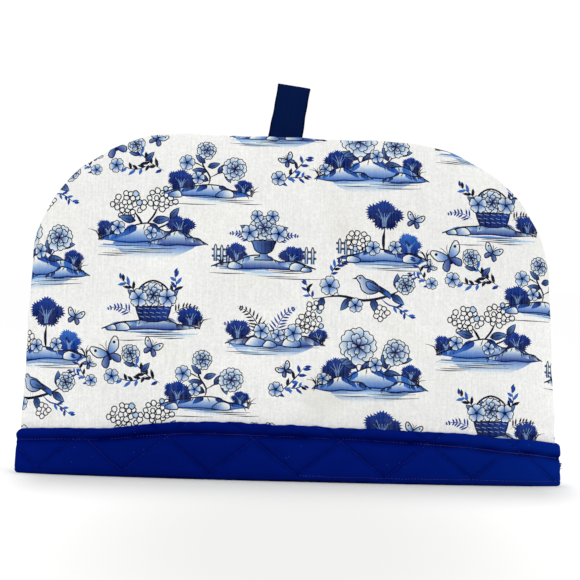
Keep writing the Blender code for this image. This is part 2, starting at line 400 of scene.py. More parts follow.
INK = ink_colour(4, 10, 42)
NAVY = ink_colour(9, 28, 88)
DEEP = ink_colour(15, 54, 140)
MID = ink_colour(44, 100, 186)
WASH = ink_colour(108, 152, 214)
PALE = ink_colour(172, 200, 232)
MIST = ink_colour(218, 228, 235)
GREY_INK = ink_colour(24, 36, 72)
BARE = np.ones(3)
DYE = 0.6
print("the darkest ink leaves", INK.round(4), "of the light")


# %% Lines and shapes on a page
def smooth_line(knots, steps=4, closed=False):
    """Points of a soft curve that passes through the knots."""
    knots = np.asarray(knots, float)
    if closed:
        ends = np.concatenate([knots[-1:], knots, knots[:2]])
    else:
        ends = np.concatenate([2 * knots[:1] - knots[1:2], knots, 2 * knots[-1:] - knots[-2:-1]])
    t = np.linspace(0, 1, steps, endpoint=False)[:, None]
    parts = []
    for a, b, c, d in zip(ends, ends[1:], ends[2:], ends[3:]):
        bend = (2 * a - 5 * b + 4 * c - d) * t**2 + (3 * b - a - 3 * c + d) * t**3
        parts.append(b + 0.5 * ((c - a) * t + bend))
    line = np.concatenate(parts)
    return line if closed else np.vstack([line, knots[-1:]])


def put(page, points, near, far=None, way=None):
    """Adds a shape. Its wash turns from `near` to `far` along the line `way`."""
    points = np.asarray(points, float)
    if way is None:
        way = (points[0], points[0] + np.array([1.0, 0.0]))
    page.append((points, near, near if far is None else far, np.array(way, float)))


def directions(run):
    """Steps made one mm long."""
    return run / np.maximum(np.hypot(run[:, 0], run[:, 1]), 1e-9)[:, None]


def grown(points, by):
    """A closed shape made larger, or smaller where `by` is negative."""
    after = np.roll(points, -1, 0)
    run = directions(after - np.roll(points, 1, 0))
    area = np.sum(points[:, 0] * after[:, 1] - after[:, 0] * points[:, 1])
    out = np.stack([run[:, 1], -run[:, 0]], 1) * (1 if area > 0 else -1)
    return points + by * out


def outlined(page, points, near, far=None, way=None, line=0.86):
    """A shape with an ink outline and a wash inside."""
    put(page, grown(points, line / 2), INK)
    put(page, grown(points, -line / 2), near, far, way)


# %% Place, scale and soften a shape
def turned_to(points, x, y, angle=0.0, size=1.0):
    """Moves a shape drawn at the origin to a place, turned and scaled."""
    c, s = math.cos(angle), math.sin(angle)
    return np.asarray(points, float) * size @ np.array([[c, s], [-s, c]]) + np.array([x, y])


def placed(points, scale, at):
    """A shape drawn at the origin, scaled and moved to its place."""
    return np.array(points, float) * scale + at


def rounded(points, scale, at, steps=2):
    """A closed soft curve through a shape drawn at the origin, at its place."""
    return smooth_line(np.array(points, float) * scale, steps, closed=True) + at


def ring_points(count):
    """Points round a circle of radius 1."""
    turn = np.linspace(0, 2 * math.pi, count, endpoint=False)
    return np.stack([np.cos(turn), np.sin(turn)], 1)


# %% [markdown]
# ## Strokes, leaves, flowers and berries
# The small parts of a drawing come first. A stroke swells from its ends, as a pen's does. A leaf is
# two curves that meet in a point, a petal is a rounded heart, a peony is three rings of petals, and a
# head of berries is a crowd of little rings. Every tool takes the page, a seeded hand for its small
# unevenness, and then its place and size, so that a whole drawing can be written as a list of steps.

# %% Stroke and leaf
def stroke(page, hand, knots, width=0.85, tone=INK, steps=3, point=0.3):
    """A pen stroke that swells from its ends."""
    line = smooth_line(knots, steps)
    run = directions(np.gradient(line, axis=0))
    across = np.stack([-run[:, 1], run[:, 0]], 1)
    t = np.linspace(0, 1, len(line))
    half = 0.5 * width * np.clip(np.minimum(t, 1 - t) / point, 0.3, 1)[:, None]
    edge = np.vstack([line + across * half, (line - across * half)[::-1]])
    put(page, edge, tone)


def blade(page, x, y, angle, length, width, tone):
    """A small solid leaf."""
    shape = [(0, 0), (0.3, -0.44), (0.66, -0.36), (1, 0), (0.62, 0.42), (0.25, 0.36)]
    put(page, turned_to(np.array(shape) * (length, width), x, y, angle), tone)


def leaf(page, hand, x, y, angle, length):
    """A pointed leaf with a rib."""
    upper = smooth_line([(0, 0), (0.3, 0.22), (0.68, 0.17), (1, 0)], 2)
    shape = np.vstack([upper, (upper * (1, -1))[::-1][1:-1]]) * length
    way = turned_to([(0.1 * length, 0), (length, 0)], x, y, angle)
    outlined(page, turned_to(shape, x, y, angle), NAVY, WASH, way, 0.68)
    rib = turned_to([(0.05 * length, 0), (0.45 * length, 0.02 * length), (0.85 * length, 0)], x, y, angle)
    stroke(page, hand, rib, 0.55, steps=1)


def leaves(page, hand, *places):
    """Several leaves, each a place, a direction and a length."""
    for x, y, angle, length in places:
        leaf(page, hand, x, y, angle, length)


# %% Flowers
PETAL = [
    (0, 0), (0.42, -0.38), (0.82, -0.5), (1.02, -0.2),
    (0.94, 0.02), (1.0, 0.24), (0.8, 0.5), (0.4, 0.36),
]


def petal(page, x, y, angle, length, width, near, far, line=0.66):
    """A heart-shaped petal."""
    shape = np.array(PETAL) * (length, width)
    if length > 5:
        shape = smooth_line(shape, 2, closed=True)
    way = turned_to([(0.1 * length, 0), (0.95 * length, 0)], x, y, angle)
    outlined(page, turned_to(shape, x, y, angle), near, far, way, line)


def peony(page, hand, x, y, size):
    """A full flower: three rings of petals round a pale heart."""
    for count, reach, wide, near, far in (
        (8, 1.0, 0.76, MID, BARE),
        (6, 0.7, 0.7, DEEP, MIST),
        (4, 0.42, 0.6, DEEP, BARE),
    ):
        start = hand.uniform(0, 1)
        for index in range(count):
            angle = 2 * math.pi * (index + start + hand.uniform(-0.12, 0.12)) / count
            length = size * reach * hand.uniform(0.9, 1.08)
            petal(page, x, y, angle, length, length * wide, near, far)
    put(page, turned_to(ring_points(7), x, y, 0, 0.11 * size), INK)


def blossom(page, hand, x, y, size):
    """A small open flower of five petals."""
    start = hand.uniform(0, 6)
    for index in range(5):
        angle = start + index * 2 * math.pi / 5
        petal(page, x, y, angle, size, size * 0.9, MID, BARE, 0.62)
    put(page, turned_to(ring_points(6), x, y, 0, 0.22 * size), INK)


def berries(page, hand, x, y, wide, high, size=2.0):
    """A crowd of ringed berries in an oval, each a little over its neighbours."""
    spots = []
    for _ in range(500):
        across, up = hand.uniform(-1, 1, 2)
        if across**2 + up**2 > hand.uniform(0.75, 1.0):
            continue
        across, up = across * wide, up * high
        if all(math.hypot(across - a, up - b) > 1.52 * size for a, b in spots):
            spots.append((across, up))
    for across, up in sorted(spots, key=lambda spot: spot[1]):
        ring = ring_points(9) * hand.uniform(0.84, 1.14, (9, 1)) * (size * hand.uniform(0.86, 1.1))
        tone = PALE if hand.uniform(0, 1) < 0.12 else BARE
        outlined(page, ring + (x + across, y + up), tone, line=0.78)


# %% Fern and grass
def fern(page, hand, x, y, angle, length, pairs, tone=DEEP):
    """A frond: a bent stalk with leaflets on both sides."""
    bend = 0.22 * (1 if math.cos(angle) > 0 else -1)
    knots = []
    for share in (0, 0.35, 0.7, 1.0):
        turn = angle - bend * share**1.5 * 2
        knots.append((x + length * share * math.cos(turn), y + length * share * math.sin(turn)))
    stroke(page, hand, knots, 0.6, tone)
    line = smooth_line(knots, 6)
    for index in range(1, pairs + 1):
        at = int(index / (pairs + 0.6) * (len(line) - 1))
        ahead = line[min(at + 1, len(line) - 1)] - line[at]
        way = math.atan2(ahead[1], ahead[0])
        small = length * 0.32 * (1.15 - index / (pairs + 0.6))
        for side in (-1, 1):
            blade(page, *line[at], way + side * 0.95, small, 1.5, tone)


def grass(page, hand, x, y, count, high):
    """A tuft of bent blades."""
    for index in range(count):
        lean = (index / max(count - 1, 1) - 0.5) * 1.7 + hand.uniform(-0.12, 0.12)
        tall = high * hand.uniform(0.65, 1.05)
        tip = (x + tall * math.sin(lean) * 1.1, y + tall * math.cos(lean))
        middle = (x + 0.3 * tall * math.sin(lean), y + 0.55 * tall)
        stroke(page, hand, [(x + index * 0.35, y), middle, tip], 0.8, steps=2, point=0.5)


# %% Shrub and sprig
def shrub(page, hand, x, y, wide, high, near=DEEP, far=NAVY, marks=5):
    """A dense shrub: feathery masses of solid blue, darker at the foot, with pale twigs through them."""
    clumps = [(0, -0.1, 0.7)]
    for turn in (0.0, 0.9, 1.7, 2.5, 3.2, 4.5, 5.3):
        turn += hand.uniform(-0.2, 0.2)
        clumps.append((0.66 * math.cos(turn), 0.6 * math.sin(turn), hand.uniform(0.3, 0.52)))
    way = ((x, y + 0.9 * high), (x, y - 0.45 * high))
    for cx, cy, share in clumps:
        teeth = 2 * int(8 + 18 * share)
        turn = np.linspace(0, 2 * math.pi, teeth, endpoint=False)
        spikes = 0.15 * np.tile([-1.0, 1.0], teeth // 2) * hand.uniform(0.6, 1.6, teeth)
        reach = share + spikes * (0.35 + 0.4 * share)
        edge = np.stack([cx + reach * np.cos(turn), cy + reach * np.sin(turn)], 1)
        put(page, placed(edge, (wide, high), (x, y)), near, far, way)
    for index in range(marks):
        lean = (index + 0.5) / marks * 2 - 1
        root = (x + 0.12 * wide * lean, y - 0.75 * high)
        tip = (x + 0.62 * wide * lean, y + high * hand.uniform(0.05, 0.5))
        bend = (x + 0.2 * wide * lean, y - 0.2 * high)
        stroke(page, hand, [root, bend, tip], 0.7, PALE if index % 2 else WASH, steps=2, point=0.9)
    for _ in range(2 * marks):
        start = np.array([x + wide * hand.uniform(-0.7, 0.7), y + high * hand.uniform(-0.6, 0.5)])
        end = start + (hand.uniform(-1.2, 1.2), -0.3 * high)
        stroke(page, hand, [start, (start + end) / 2 + (0.3, 0), end], 0.75, INK, steps=1, point=0.6)


def sprig(page, hand, knots, count, length):
    """A stem with small leaves in turn on either side."""
    stroke(page, hand, knots, 0.75)
    line = smooth_line(knots, 8)
    for index in range(count):
        at = int((index + 1) / (count + 0.4) * (len(line) - 2))
        ahead = line[at + 1] - line[at]
        way = math.atan2(ahead[1], ahead[0]) + (1 if index % 2 else -1) * hand.uniform(0.6, 1.0)
        shade = (INK, DEEP, MID)[int(hand.integers(0, 3))]
        blade(page, *line[at], way, length * hand.uniform(0.8, 1.15), 0.44 * length, shade)
    blade(page, *line[-1], way, length * 0.8, 0.4 * length, DEEP)


# %% [markdown]
# ## Banks, urns, baskets, birds and butterflies
# Now the larger parts. A bank is a low hill whose wash deepens towards its foot, with short pen
# strokes down its slopes, level strokes beside it and a pool of paler wash below it. The basket and
# the bird show how a few shapes in the right order make a small picture: back parts first, front
# parts last.

# %% Bank
BANK = [
    (-0.5, 0), (-0.4, 0.3), (-0.27, 0.46), (-0.14, 0.9), (0.01, 1.0),
    (0.15, 0.62), (0.3, 0.6), (0.42, 0.24), (0.5, 0),
]


def bank(page, hand, x, y, wide, high, near=BARE, far=MID):
    """A grassy bank: an inked ridge, and brushed washes that run down from it into bare cloth."""
    top = np.array(BANK) * (wide, high)
    top[1:-1, 1] *= hand.uniform(0.82, 1.18, len(top) - 2)
    ridge = smooth_line(top, 3)
    foot = [(0.5, 0), (0.24, -0.16), (0, -0.1), (-0.2, -0.2), (-0.5, 0)]
    foot = smooth_line(np.array(foot) * (wide, high), 3)
    hill = np.vstack([ridge, foot[1:-1]]) + (x, y)
    put(page, hill, near, far, ((x, y + high * 0.72), (x, y - 0.14 * high)))
    for index in range(3, len(ridge) - 5, 3):
        slope = 1 if ridge[index][0] > 0 else -1
        drop = high * hand.uniform(0.45, 0.8)
        wide_stroke = wide * hand.uniform(0.05, 0.09)
        start = ridge[index] + (x, y - 0.2)
        end = start + (slope * wide_stroke * 1.6, -drop)
        tip = (max(min(end[0], x + 0.42 * wide), x - 0.42 * wide), max(end[1], y - 0.08 * high))
        outer = start + (slope * wide_stroke, -0.15 * drop)
        inner = start + (-0.1 * slope * wide_stroke, -0.5 * drop)
        wedge = [start, outer, tip, inner]
        tone = (DEEP, MID, NAVY)[int(hand.integers(0, 3))]
        put(page, smooth_line(wedge, 2, closed=True), tone, far if near is BARE else near, (start, tip))
    line = np.vstack([ridge + (x, y), (ridge + (x, y - 1.0))[::-1]])
    put(page, line, INK)
    stroke(page, hand, foot + (x, y), 1.0, NAVY, steps=1, point=0.2)
    for index in range(2, len(ridge) - 2, 3):
        start = ridge[index] + (x, y - 0.5)
        drop = high * hand.uniform(0.25, 0.5)
        slant = hand.uniform(0.5, 1.4) * (1 if ridge[index][0] > 0 else -1)
        knots = [start, start + (slant, -0.6 * drop), start + (1.6 * slant, -drop)]
        stroke(page, hand, knots, 0.75, steps=1, point=0.5)


# %% Level strokes, pool and rocks
def level_strokes(page, hand, x, y, wide, count):
    """Level strokes at the foot of a bank: broad pale ones from a brush, then thin ones from a pen."""
    for index in range(3):
        left = x + wide * hand.uniform(-0.5, -0.15)
        length = wide * hand.uniform(0.35, 0.6)
        drop = y - 0.6 - 1.7 * index
        knots = [(left, drop), (left + 0.5 * length, drop - 0.5), (left + length, drop)]
        stroke(page, hand, knots, 2.3, (WASH, PALE, MIST)[index], steps=3, point=0.5)
    for index in range(count):
        left = x + wide * hand.uniform(-0.62, 0.1)
        length = wide * hand.uniform(0.25, 0.55)
        drop = y - 1.2 - 1.35 * index
        knots = [(left, drop), (left + 0.5 * length, drop - 0.3), (left + length, drop)]
        stroke(page, hand, knots, 0.75, GREY_INK, steps=2, point=0.4)


SHORE = [
    (-0.5, 0), (-0.3, 0.12), (0.3, 0.12), (0.5, 0), (0.4, -0.42),
    (0.16, -0.86), (-0.14, -1), (-0.36, -0.7), (-0.46, -0.3),
]
STONE = np.array([
    (-1, 0), (-0.86, 0.55), (-0.3, 0.86), (0.36, 0.7),
    (0.9, 0.42), (1.05, 0), (0.4, -0.18), (-0.5, -0.16),
])


def pool(page, hand, x, y, wide, high):
    """Water below a bank: a wash of mid blue that runs out into bare cloth."""
    way = ((x, y + 0.1 * high), (x, y - 0.84 * high))
    put(page, rounded(SHORE, (wide, high), (x, y), 3), MID, BARE, way)


def rocks(page, hand, *places):
    """Rounded stones: each a place and a size."""
    for x, y, size in places:
        edge = rounded(STONE * size, hand.uniform(0.88, 1.12, STONE.shape), (x, y))
        way = ((x - 0.3 * size, y + 0.7 * size), (x + 0.7 * size, y - 0.2 * size))
        outlined(page, edge, BARE, MID, way)
        for step in (0.0, 0.35):
            start = (x + (0.1 + step) * size, y + (0.6 - 0.5 * step) * size)
            stroke(page, hand, [start, (start[0] + 0.3 * size, y + 0.1 * size)], 0.6, steps=1, point=0.5)


# %% Basket, urn and fence
def mirrored(half):
    """A closed shape from its right half, given from top to bottom."""
    half = np.array(half, float)
    return np.vstack([half, (half * (-1, 1))[::-1]])


def basket(page, hand, x, y, wide, high):
    """A woven basket with a tall handle."""
    grip = [(-0.42, 1), (-0.36, 1.9), (0, 2.35), (0.36, 1.9), (0.42, 1)]
    stroke(page, hand, placed(grip, (wide, high), (x, y)), 1.3, steps=4, point=0.05)
    body = placed(mirrored([(0.5, 1), (0.43, 0.5), (0.36, 0.05), (0.1, -0.06)]), (wide, high), (x, y))
    outlined(page, body, DEEP, NAVY, ((x - 0.3 * wide, y + high), (x + 0.2 * wide, y)), 0.9)
    for row in range(3):
        level, half = y + high * (0.2 + 0.24 * row), wide * (0.38 + 0.03 * row)
        for column in range(5):
            start = x + half * (0.4 * column - 1 + 0.1 * (row % 2) + 0.06)
            end = (start + 0.26 * half, level + 0.06 * high)
            stroke(page, hand, [(start, level), end], 0.72, PALE, steps=1, point=0.2)
    rim = [(-0.54, 0.9), (0, 0.8), (0.54, 0.9), (0.5, 1.1), (0, 1.0), (-0.5, 1.1)]
    outlined(page, placed(rim, (wide, high), (x, y)), BARE)


def urn(page, hand, x, y, size):
    """A garden urn on a foot."""
    foot = placed(mirrored([(0.16, 0.34), (0.2, 0.16), (0.42, 0.1), (0.44, 0)]), size, (x, y))
    outlined(page, foot, PALE, DEEP, ((x - 0.3 * size, y), (x + 0.4 * size, y)))
    bowl = rounded(mirrored([(0.52, 1.0), (0.5, 0.72), (0.4, 0.46), (0.16, 0.32)]), size, (x, y))
    outlined(page, bowl, WASH, NAVY, ((x - 0.5 * size, y), (x + 0.4 * size, y + 0.2 * size)), 0.9)
    for step in (-0.26, -0.1, 0.08, 0.24):
        rib = [(x + step * size * 1.2, y + 0.84 * size), (x + step * size, y + 0.44 * size)]
        stroke(page, hand, rib, 0.55, steps=1)
    rim = placed(mirrored([(0.62, 1.1), (0.64, 1.0), (0.56, 0.92)]), size, (x, y))
    outlined(page, rim, BARE, WASH, ((x - 0.5 * size, y), (x + 0.6 * size, y)))


def fence(page, hand, x, y, count, step, high):
    """Pickets on two rails."""
    for rail in (0.3, 0.68):
        left, right = -0.6 * step, (count - 0.4) * step
        bar = np.array([(left, 0), (right, 0), (right, 0.9), (left, 0.9)])
        outlined(page, bar + (x, y + rail * high), WASH, line=0.65)
    for index in range(count):
        at = x + index * step
        picket = mirrored([(0.2, 1.0), (0.95, 0.8), (0.95, 0)])
        picket = placed(picket, (1, high), (at, y + hand.uniform(-0.4, 0.4)))
        outlined(page, picket, BARE, WASH, ((at, y + high), (at, y)), 0.75)


# %% Bird
BIRD_BODY = [
    (-0.62, 0.66), (-0.5, 0.8), (-0.3, 0.82), (-0.12, 0.66), (0.3, 0.56),
    (0.7, 0.2), (0.45, -0.06), (0.05, -0.14), (-0.3, 0.06), (-0.42, 0.4),
]
BIRD_WING = [(-0.1, 0.46), (0.24, 0.5), (0.95, 0.04), (0.5, 0.06), (0.08, 0.12)]
BIRD_TAIL = [(0.5, 0.12), (1.25, -0.3), (1.3, -0.12), (1.15, 0.06), (0.62, 0.34)]
BIRD_BEAK = [(-0.6, 0.6), (-0.85, 0.6), (-0.58, 0.74)]


def bird(page, hand, x, y, size):
    """A small perched bird that looks to the left."""
    at = np.array([x, y])
    for shape, near, far, start, end in (
        (placed(BIRD_TAIL, size, at), NAVY, MID, (0.5, 0), (1.2, 0)),
        (rounded(BIRD_BODY, size, at), BARE, DEEP, (-0.4, 0), (0.6, 0.4)),
        (rounded(BIRD_WING, size, at), NAVY, WASH, (0.8, 0), (-0.1, 0.3)),
    ):
        outlined(page, shape, near, far, placed([start, end], size, at))
    for index in range(3):
        start = at + np.array([0.12 + 0.13 * index, 0.36 - 0.05 * index]) * size
        stroke(page, hand, [start, start + np.array([0.33, -0.2]) * size], 0.6, steps=1)
    put(page, placed(BIRD_BEAK, size, at), INK)
    put(page, turned_to(ring_points(6), x - 0.42 * size, y + 0.68 * size, 0, 0.06 * size), INK)
    for step in (0.0, 0.16):
        leg = [at + (step * size, -0.1 * size), at + ((step - 0.03) * size, -0.4 * size)]
        stroke(page, hand, leg, 0.5, steps=1)


# %% Butterfly
LOWER_WING = [(0, 0), (0.35, -0.1), (0.62, -0.4), (0.45, -0.72), (0.16, -0.5)]
UPPER_WING = [(0, 0.06), (0.3, 0.5), (0.75, 0.82), (0.92, 0.6), (0.72, 0.1), (0.3, -0.06)]


def butterfly(page, hand, x, y, size, tilt):
    """A butterfly with open wings."""
    for side in (-1, 1):
        for wing, near in ((LOWER_WING, DEEP), (UPPER_WING, MID)):
            shape = turned_to(rounded(wing, (side, 1), (0, 0)), x, y, tilt, size)
            outlined(page, shape, near, BARE, turned_to([(0, 0), (0.8 * side, 0.3)], x, y, tilt, size))
        put(page, turned_to(ring_points(6) * 0.1 + (0.62 * side, 0.5), x, y, tilt, size), INK)
        feeler = [(0, 0.2), (0.12 * side, 0.6), (0.26 * side, 0.78)]
        stroke(page, hand, turned_to(feeler, x, y, tilt, size), 0.55, steps=2)
    body = np.array([(-0.06, -0.4), (0.06, -0.4), (0.08, 0.1), (0, 0.34), (-0.08, 0.1)])
    put(page, turned_to(body, x, y, tilt, size), INK)


# %% [markdown]
# ## The little scenes
# The print has ten drawings, each about as large as the printed scenes of the real cloth. A drawing is
# a list of steps: a tool and its places and sizes in millimetres, from the back of the scene to its
# front. Every drawing has its own seed, so that it comes out the same wherever it repeats.

# %% Ten drawings
DRAWINGS = {
    "peonies": [
        (pool, 2, -5, 62, 12),
        (level_strokes, 2, -6, 76, 5),
        (shrub, -22, 8, 10, 8),
        (shrub, 30, 5, 7, 6),
        (stroke, [(-4, 2), (-9, 10), (-7, 19)], 1.1, DEEP),
        (stroke, [(6, 2), (14, 8), (19, 15)], 1.0, DEEP),
        (leaves, (-8, 9, 2.7, 14), (-6, 7, 0.5, 13), (10, 5, -0.1, 13)),
        (leaves, (13, 8, 1.9, 11), (-9, 15, 3.5, 11), (20, 14, 0.1, 11)),
        (bank, 2, -4, 72, 12),
        (bank, -19, -6, 42, 9),
        (bank, 25, -7, 34, 7),
        (peony, -7, 24, 12.5),
        (peony, 19, 20, 9.5),
        (blossom, 5, 11, 5.0),
        (blossom, -32, 1, 4.4),
        (grass, 34, -5, 6, 11),
        (grass, -37, -5, 5, 9),
    ],
    "urn": [
        (level_strokes, 0, -6, 70, 5),
        (fern, -9, 13, 2.4, 17, 7),
        (fern, 9, 13, 0.7, 17, 7),
        (fence, -34, -2, 5, 4.4, 12),
        (fence, 17, -2, 5, 4.4, 12),
        (shrub, -19, 4, 8, 7),
        (shrub, 20, 3, 8.5, 6.5),
        (bank, 0, -5, 74, 8, MIST, DEEP),
        (leaves, (-6, 19, 2.7, 12), (6, 19, 0.4, 12), (0, 20, 1.9, 11)),
        (urn, 0, 0, 15),
        (peony, 0, 23, 9.0),
        (blossom, -10, 19, 6.0),
        (blossom, 10.5, 19, 6.0),
        (blossom, -5, 31, 4.4),
        (blossom, 6, 31, 4.6),
        (rocks, (-20, -6, 5), (24, -6, 6), (30, -7, 3.6)),
        (grass, -30, -5, 6, 9),
    ],
    "berry bush": [
        (pool, 6, -6, 58, 12),
        (level_strokes, 0, -7, 78, 6),
        (stroke, [(-2, -1), (-4, 8), (-10, 17)], 1.7, INK),
        (stroke, [(-3, 4), (4, 12), (8, 20)], 1.4, INK),
        (stroke, [(0, 1), (12, 6), (19, 10)], 1.2, INK),
        (shrub, 23, 6, 10, 8),
        (shrub, -27, 3, 8, 6.5),
        (berries, -13, 20, 12, 9),
        (berries, 10, 25, 11, 8.5),
        (bank, 2, -4, 72, 11),
        (bank, 22, -6, 42, 8.5, MIST, DEEP),
        (leaves, (-8, 9, 2.9, 12), (4, 9, 0.2, 12), (16, 11, 0.9, 10)),
        (grass, -33, -5, 6, 11),
        (blossom, -20, 4, 5.0),
        (blossom, 3, 1, 4.4),
    ],
    "perched bird": [
        (stroke, [(-34, 4), (-14, 8), (4, 6), (22, 11), (35, 19)], 2.0, INK, 4),
        (stroke, [(-14, 8), (-20, 15), (-22, 23)], 1.2, DEEP),
        (stroke, [(16, 9), (23, 4), (33, 3)], 1.0, DEEP),
        (sprig, [(-22, 22), (-19, 29), (-13, 34)], 7, 6.0),
        (sprig, [(-33, 4), (-38, 9), (-39, 16)], 6, 5.6),
        (sprig, [(24, 4), (32, 1), (39, -4)], 6, 5.6),
        (leaves, (-6, 7, 4.1, 12), (10, 8, -1.2, 12), (24, 12, -0.6, 12)),
        (leaves, (28, 16, 1.6, 12), (-26, 6, -1.9, 11), (-18, 12, 2.8, 10)),
        (blossom, -22, 15, 7.2),
        (peony, 34, 20, 7.0),
        (blossom, -2, 2, 5.4),
        (bird, 6, 13, 14),
        (berries, -33, -3, 6, 5),
        (berries, 17, -3, 5.5, 5),
    ],
    "ferns": [
        (pool, -2, -5, 60, 11),
        (level_strokes, 0, -6, 74, 5),
        (fern, -18, 0, 2.3, 22, 8),
        (fern, -10, 1, 1.85, 27, 9, INK),
        (fern, 0, 2, 1.35, 25, 9),
        (fern, 10, 0, 0.85, 22, 8, INK),
        (shrub, -27, 4, 9, 7.5),
        (berries, 24, 10, 10, 8),
        (shrub, 31, 1, 7, 5.5),
        (bank, 0, -5, 72, 10, MIST, DEEP),
        (rocks, (-14, -6, 7), (-4, -7, 5), (12, -6, 6.5)),
        (blossom, 13, 3, 6.4),
        (blossom, -10, 4, 5.6),
        (blossom, 2, 1, 4.6),
        (grass, 33, -6, 6, 10),
    ],
    "butterflies": [
        (sprig, [(-24, -14), (-12, -5), (-3, 8)], 9, 7.2),
        (sprig, [(-14, -8), (-2, -11), (12, -6)], 8, 6.8),
        (leaves, (-10, -5, 2.4, 10), (-6, 1, 0.3, 9)),
        (butterfly, 14, 11, 13, -0.35),
        (peony, -3, 10, 7.0),
        (blossom, 13, -6, 5.8),
        (butterfly, -20, 13, 8, 0.5),
    ],
    "roses": [
        (level_strokes, 2, -6, 72, 5),
        (stroke, [(2, 0), (0, 9), (6, 19), (3, 29)], 1.4, INK),
        (stroke, [(1, 8), (-10, 14), (-18, 13)], 1.2, INK),
        (stroke, [(4, 16), (12, 20), (18, 19)], 1.0, INK),
        (leaves, (1, 6, 0.4, 12), (3, 13, 0.1, 11), (4, 20, 0.7, 10)),
        (leaves, (-6, 12, 2.2, 10), (-12, 14, 4.3, 10), (2, 17, 2.8, 10)),
        (shrub, 22, 5, 10, 8.5),
        (shrub, -26, 2, 7.5, 6),
        (bank, 2, -5, 70, 9.5),
        (peony, -19, 16, 9.5),
        (peony, 3, 31, 7.5),
        (blossom, 18, 20, 6.0),
        (blossom, 9, 8, 5.0),
        (rocks, (-12, -6, 6.5), (26, -7, 5)),
        (grass, -33, -5, 6, 9),
    ],
    "basket": [
        (level_strokes, 0, -6, 68, 5),
        (fern, -14, 6, 2.5, 19, 7, INK),
        (fern, 15, 6, 0.6, 19, 7),
        (sprig, [(-8, 14), (-16, 24), (-15, 34)], 8, 6.2),
        (sprig, [(8, 14), (15, 24), (23, 30)], 8, 6.2),
        (shrub, -26, 3, 9, 7.5),
        (bank, 2, -4, 70, 8, MIST, DEEP),
        (basket, 0, 1, 27, 12),
        (leaves, (-9, 15, 2.4, 12), (9, 15, 0.7, 12), (-3, 17, 1.9, 10), (4, 17, 1.2, 10)),
        (peony, 0, 19, 8.6),
        (blossom, -10, 17, 6.4),
        (blossom, 10.5, 17, 6.4),
        (rocks, (23, -5, 6), (30, -5, 4)),
        (grass, -33, -4, 6, 10),
    ],
    "clipped tree": [
        (pool, 2, -5, 54, 9),
        (level_strokes, 0, -6, 66, 5),
        (fence, -32, -2, 6, 4.4, 11),
        (stroke, [(0, 0), (-0.6, 9), (0.4, 17)], 2.2, INK),
        (shrub, 0, 27, 12.5, 10.5, DEEP, NAVY, 7),
        (shrub, 18, 6, 9, 8, MID, DEEP),
        (berries, -19, 8, 8, 7),
        (bank, 0, -5, 68, 9),
        (blossom, -8, 3, 5.2),
        (blossom, 8, 4, 4.8),
        (rocks, (20, -6, 6.5), (-22, -7, 5)),
        (grass, 30, -5, 6, 10),
        (butterfly, 22, 24, 7, -0.3),
    ],
    "loose sprig": [
        (sprig, [(-12, -6), (-3, -3), (6, 3), (13, 9)], 9, 6.4),
        (sprig, [(-3, -3), (4, -5), (10, -4)], 5, 5.4),
        (blossom, -10, -3, 5.2),
        (butterfly, -1, 9, 6, 0.4),
    ],
}


# %% Draw the ten scenes
def drawn(steps, seed):
    """Carries out the steps of a drawing on a fresh page."""
    page, hand = [], np.random.default_rng(seed)
    for tool, *details in steps:
        tool(page, hand, *details)
    return page


scenes = {title: drawn(steps, 101 + seed) for seed, (title, steps) in enumerate(DRAWINGS.items())}
for title, page in scenes.items():
    print(title, "-", len(page), "shapes,", sum(len(shape[0]) for shape in page), "points")

# %% [markdown]
# ## Repeating the print
# Printed cloth repeats. The drawings fill one repeat, 240 mm wide and 150 mm high, and each repeat to
# the side is shifted up by half its height, as on most printed cottons. The walls are cut from
# different places of the cloth, so their prints don't match at the seam.

# %% Layout of one repeat: drawing, place in mm, tilt, size and whether it is turned over
REPEAT = (240.0, 150.0)
LAYOUT = [
    ("peonies", 38, 12, 0.02, 1.0, False),
    ("perched bird", 30, 63, -0.05, 0.95, False),
    ("clipped tree", 48, 103, 0.0, 0.98, False),
    ("berry bush", 120, 36, 0.0, 1.02, False),
    ("butterflies", 108, 92, 0.1, 0.92, True),
    ("basket", 126, 124, 0.02, 1.0, True),
    ("roses", 164, 70, 0.0, 0.92, True),
    ("urn", 203, 20, 0.0, 1.0, False),
    ("ferns", 212, 116, 0.0, 0.98, False),
    ("loose sprig", 222, 84, 0.2, 1.0, False),
    ("loose sprig", 76, 88, -0.5, 0.8, True),
]
CUT_FROM = {"front": (-222.0, -18.0), "back": (-160.0, -84.0)}
BAND_HIDES = 26
FARTHEST_ACROSS = 240
FARTHEST_UP = 290
FARTHEST_DOWN = -20
print("one repeat:", REPEAT[0], "x", REPEAT[1], "mm, with", len(LAYOUT), "drawings")
TOUCHING = 0.03


# %% The shapes that fall on a wall
def off_the_edge(points):
    """Moves points that almost touch the cloth's cut edge a hair inwards, so that the cut stays clean."""
    moved = points.copy()
    distance = np.hypot(moved[:, 0], moved[:, 1])
    edge = outline_reach(np.arctan2(np.maximum(moved[:, 1], 0.0), moved[:, 0])) + EXTRA[-1]
    touching = np.abs(distance - edge) < TOUCHING
    moved[touching] *= ((edge - 2 * TOUCHING) / distance)[touching, None]
    moved[np.abs(moved[:, 1]) < TOUCHING, 1] = 2 * TOUCHING
    return moved


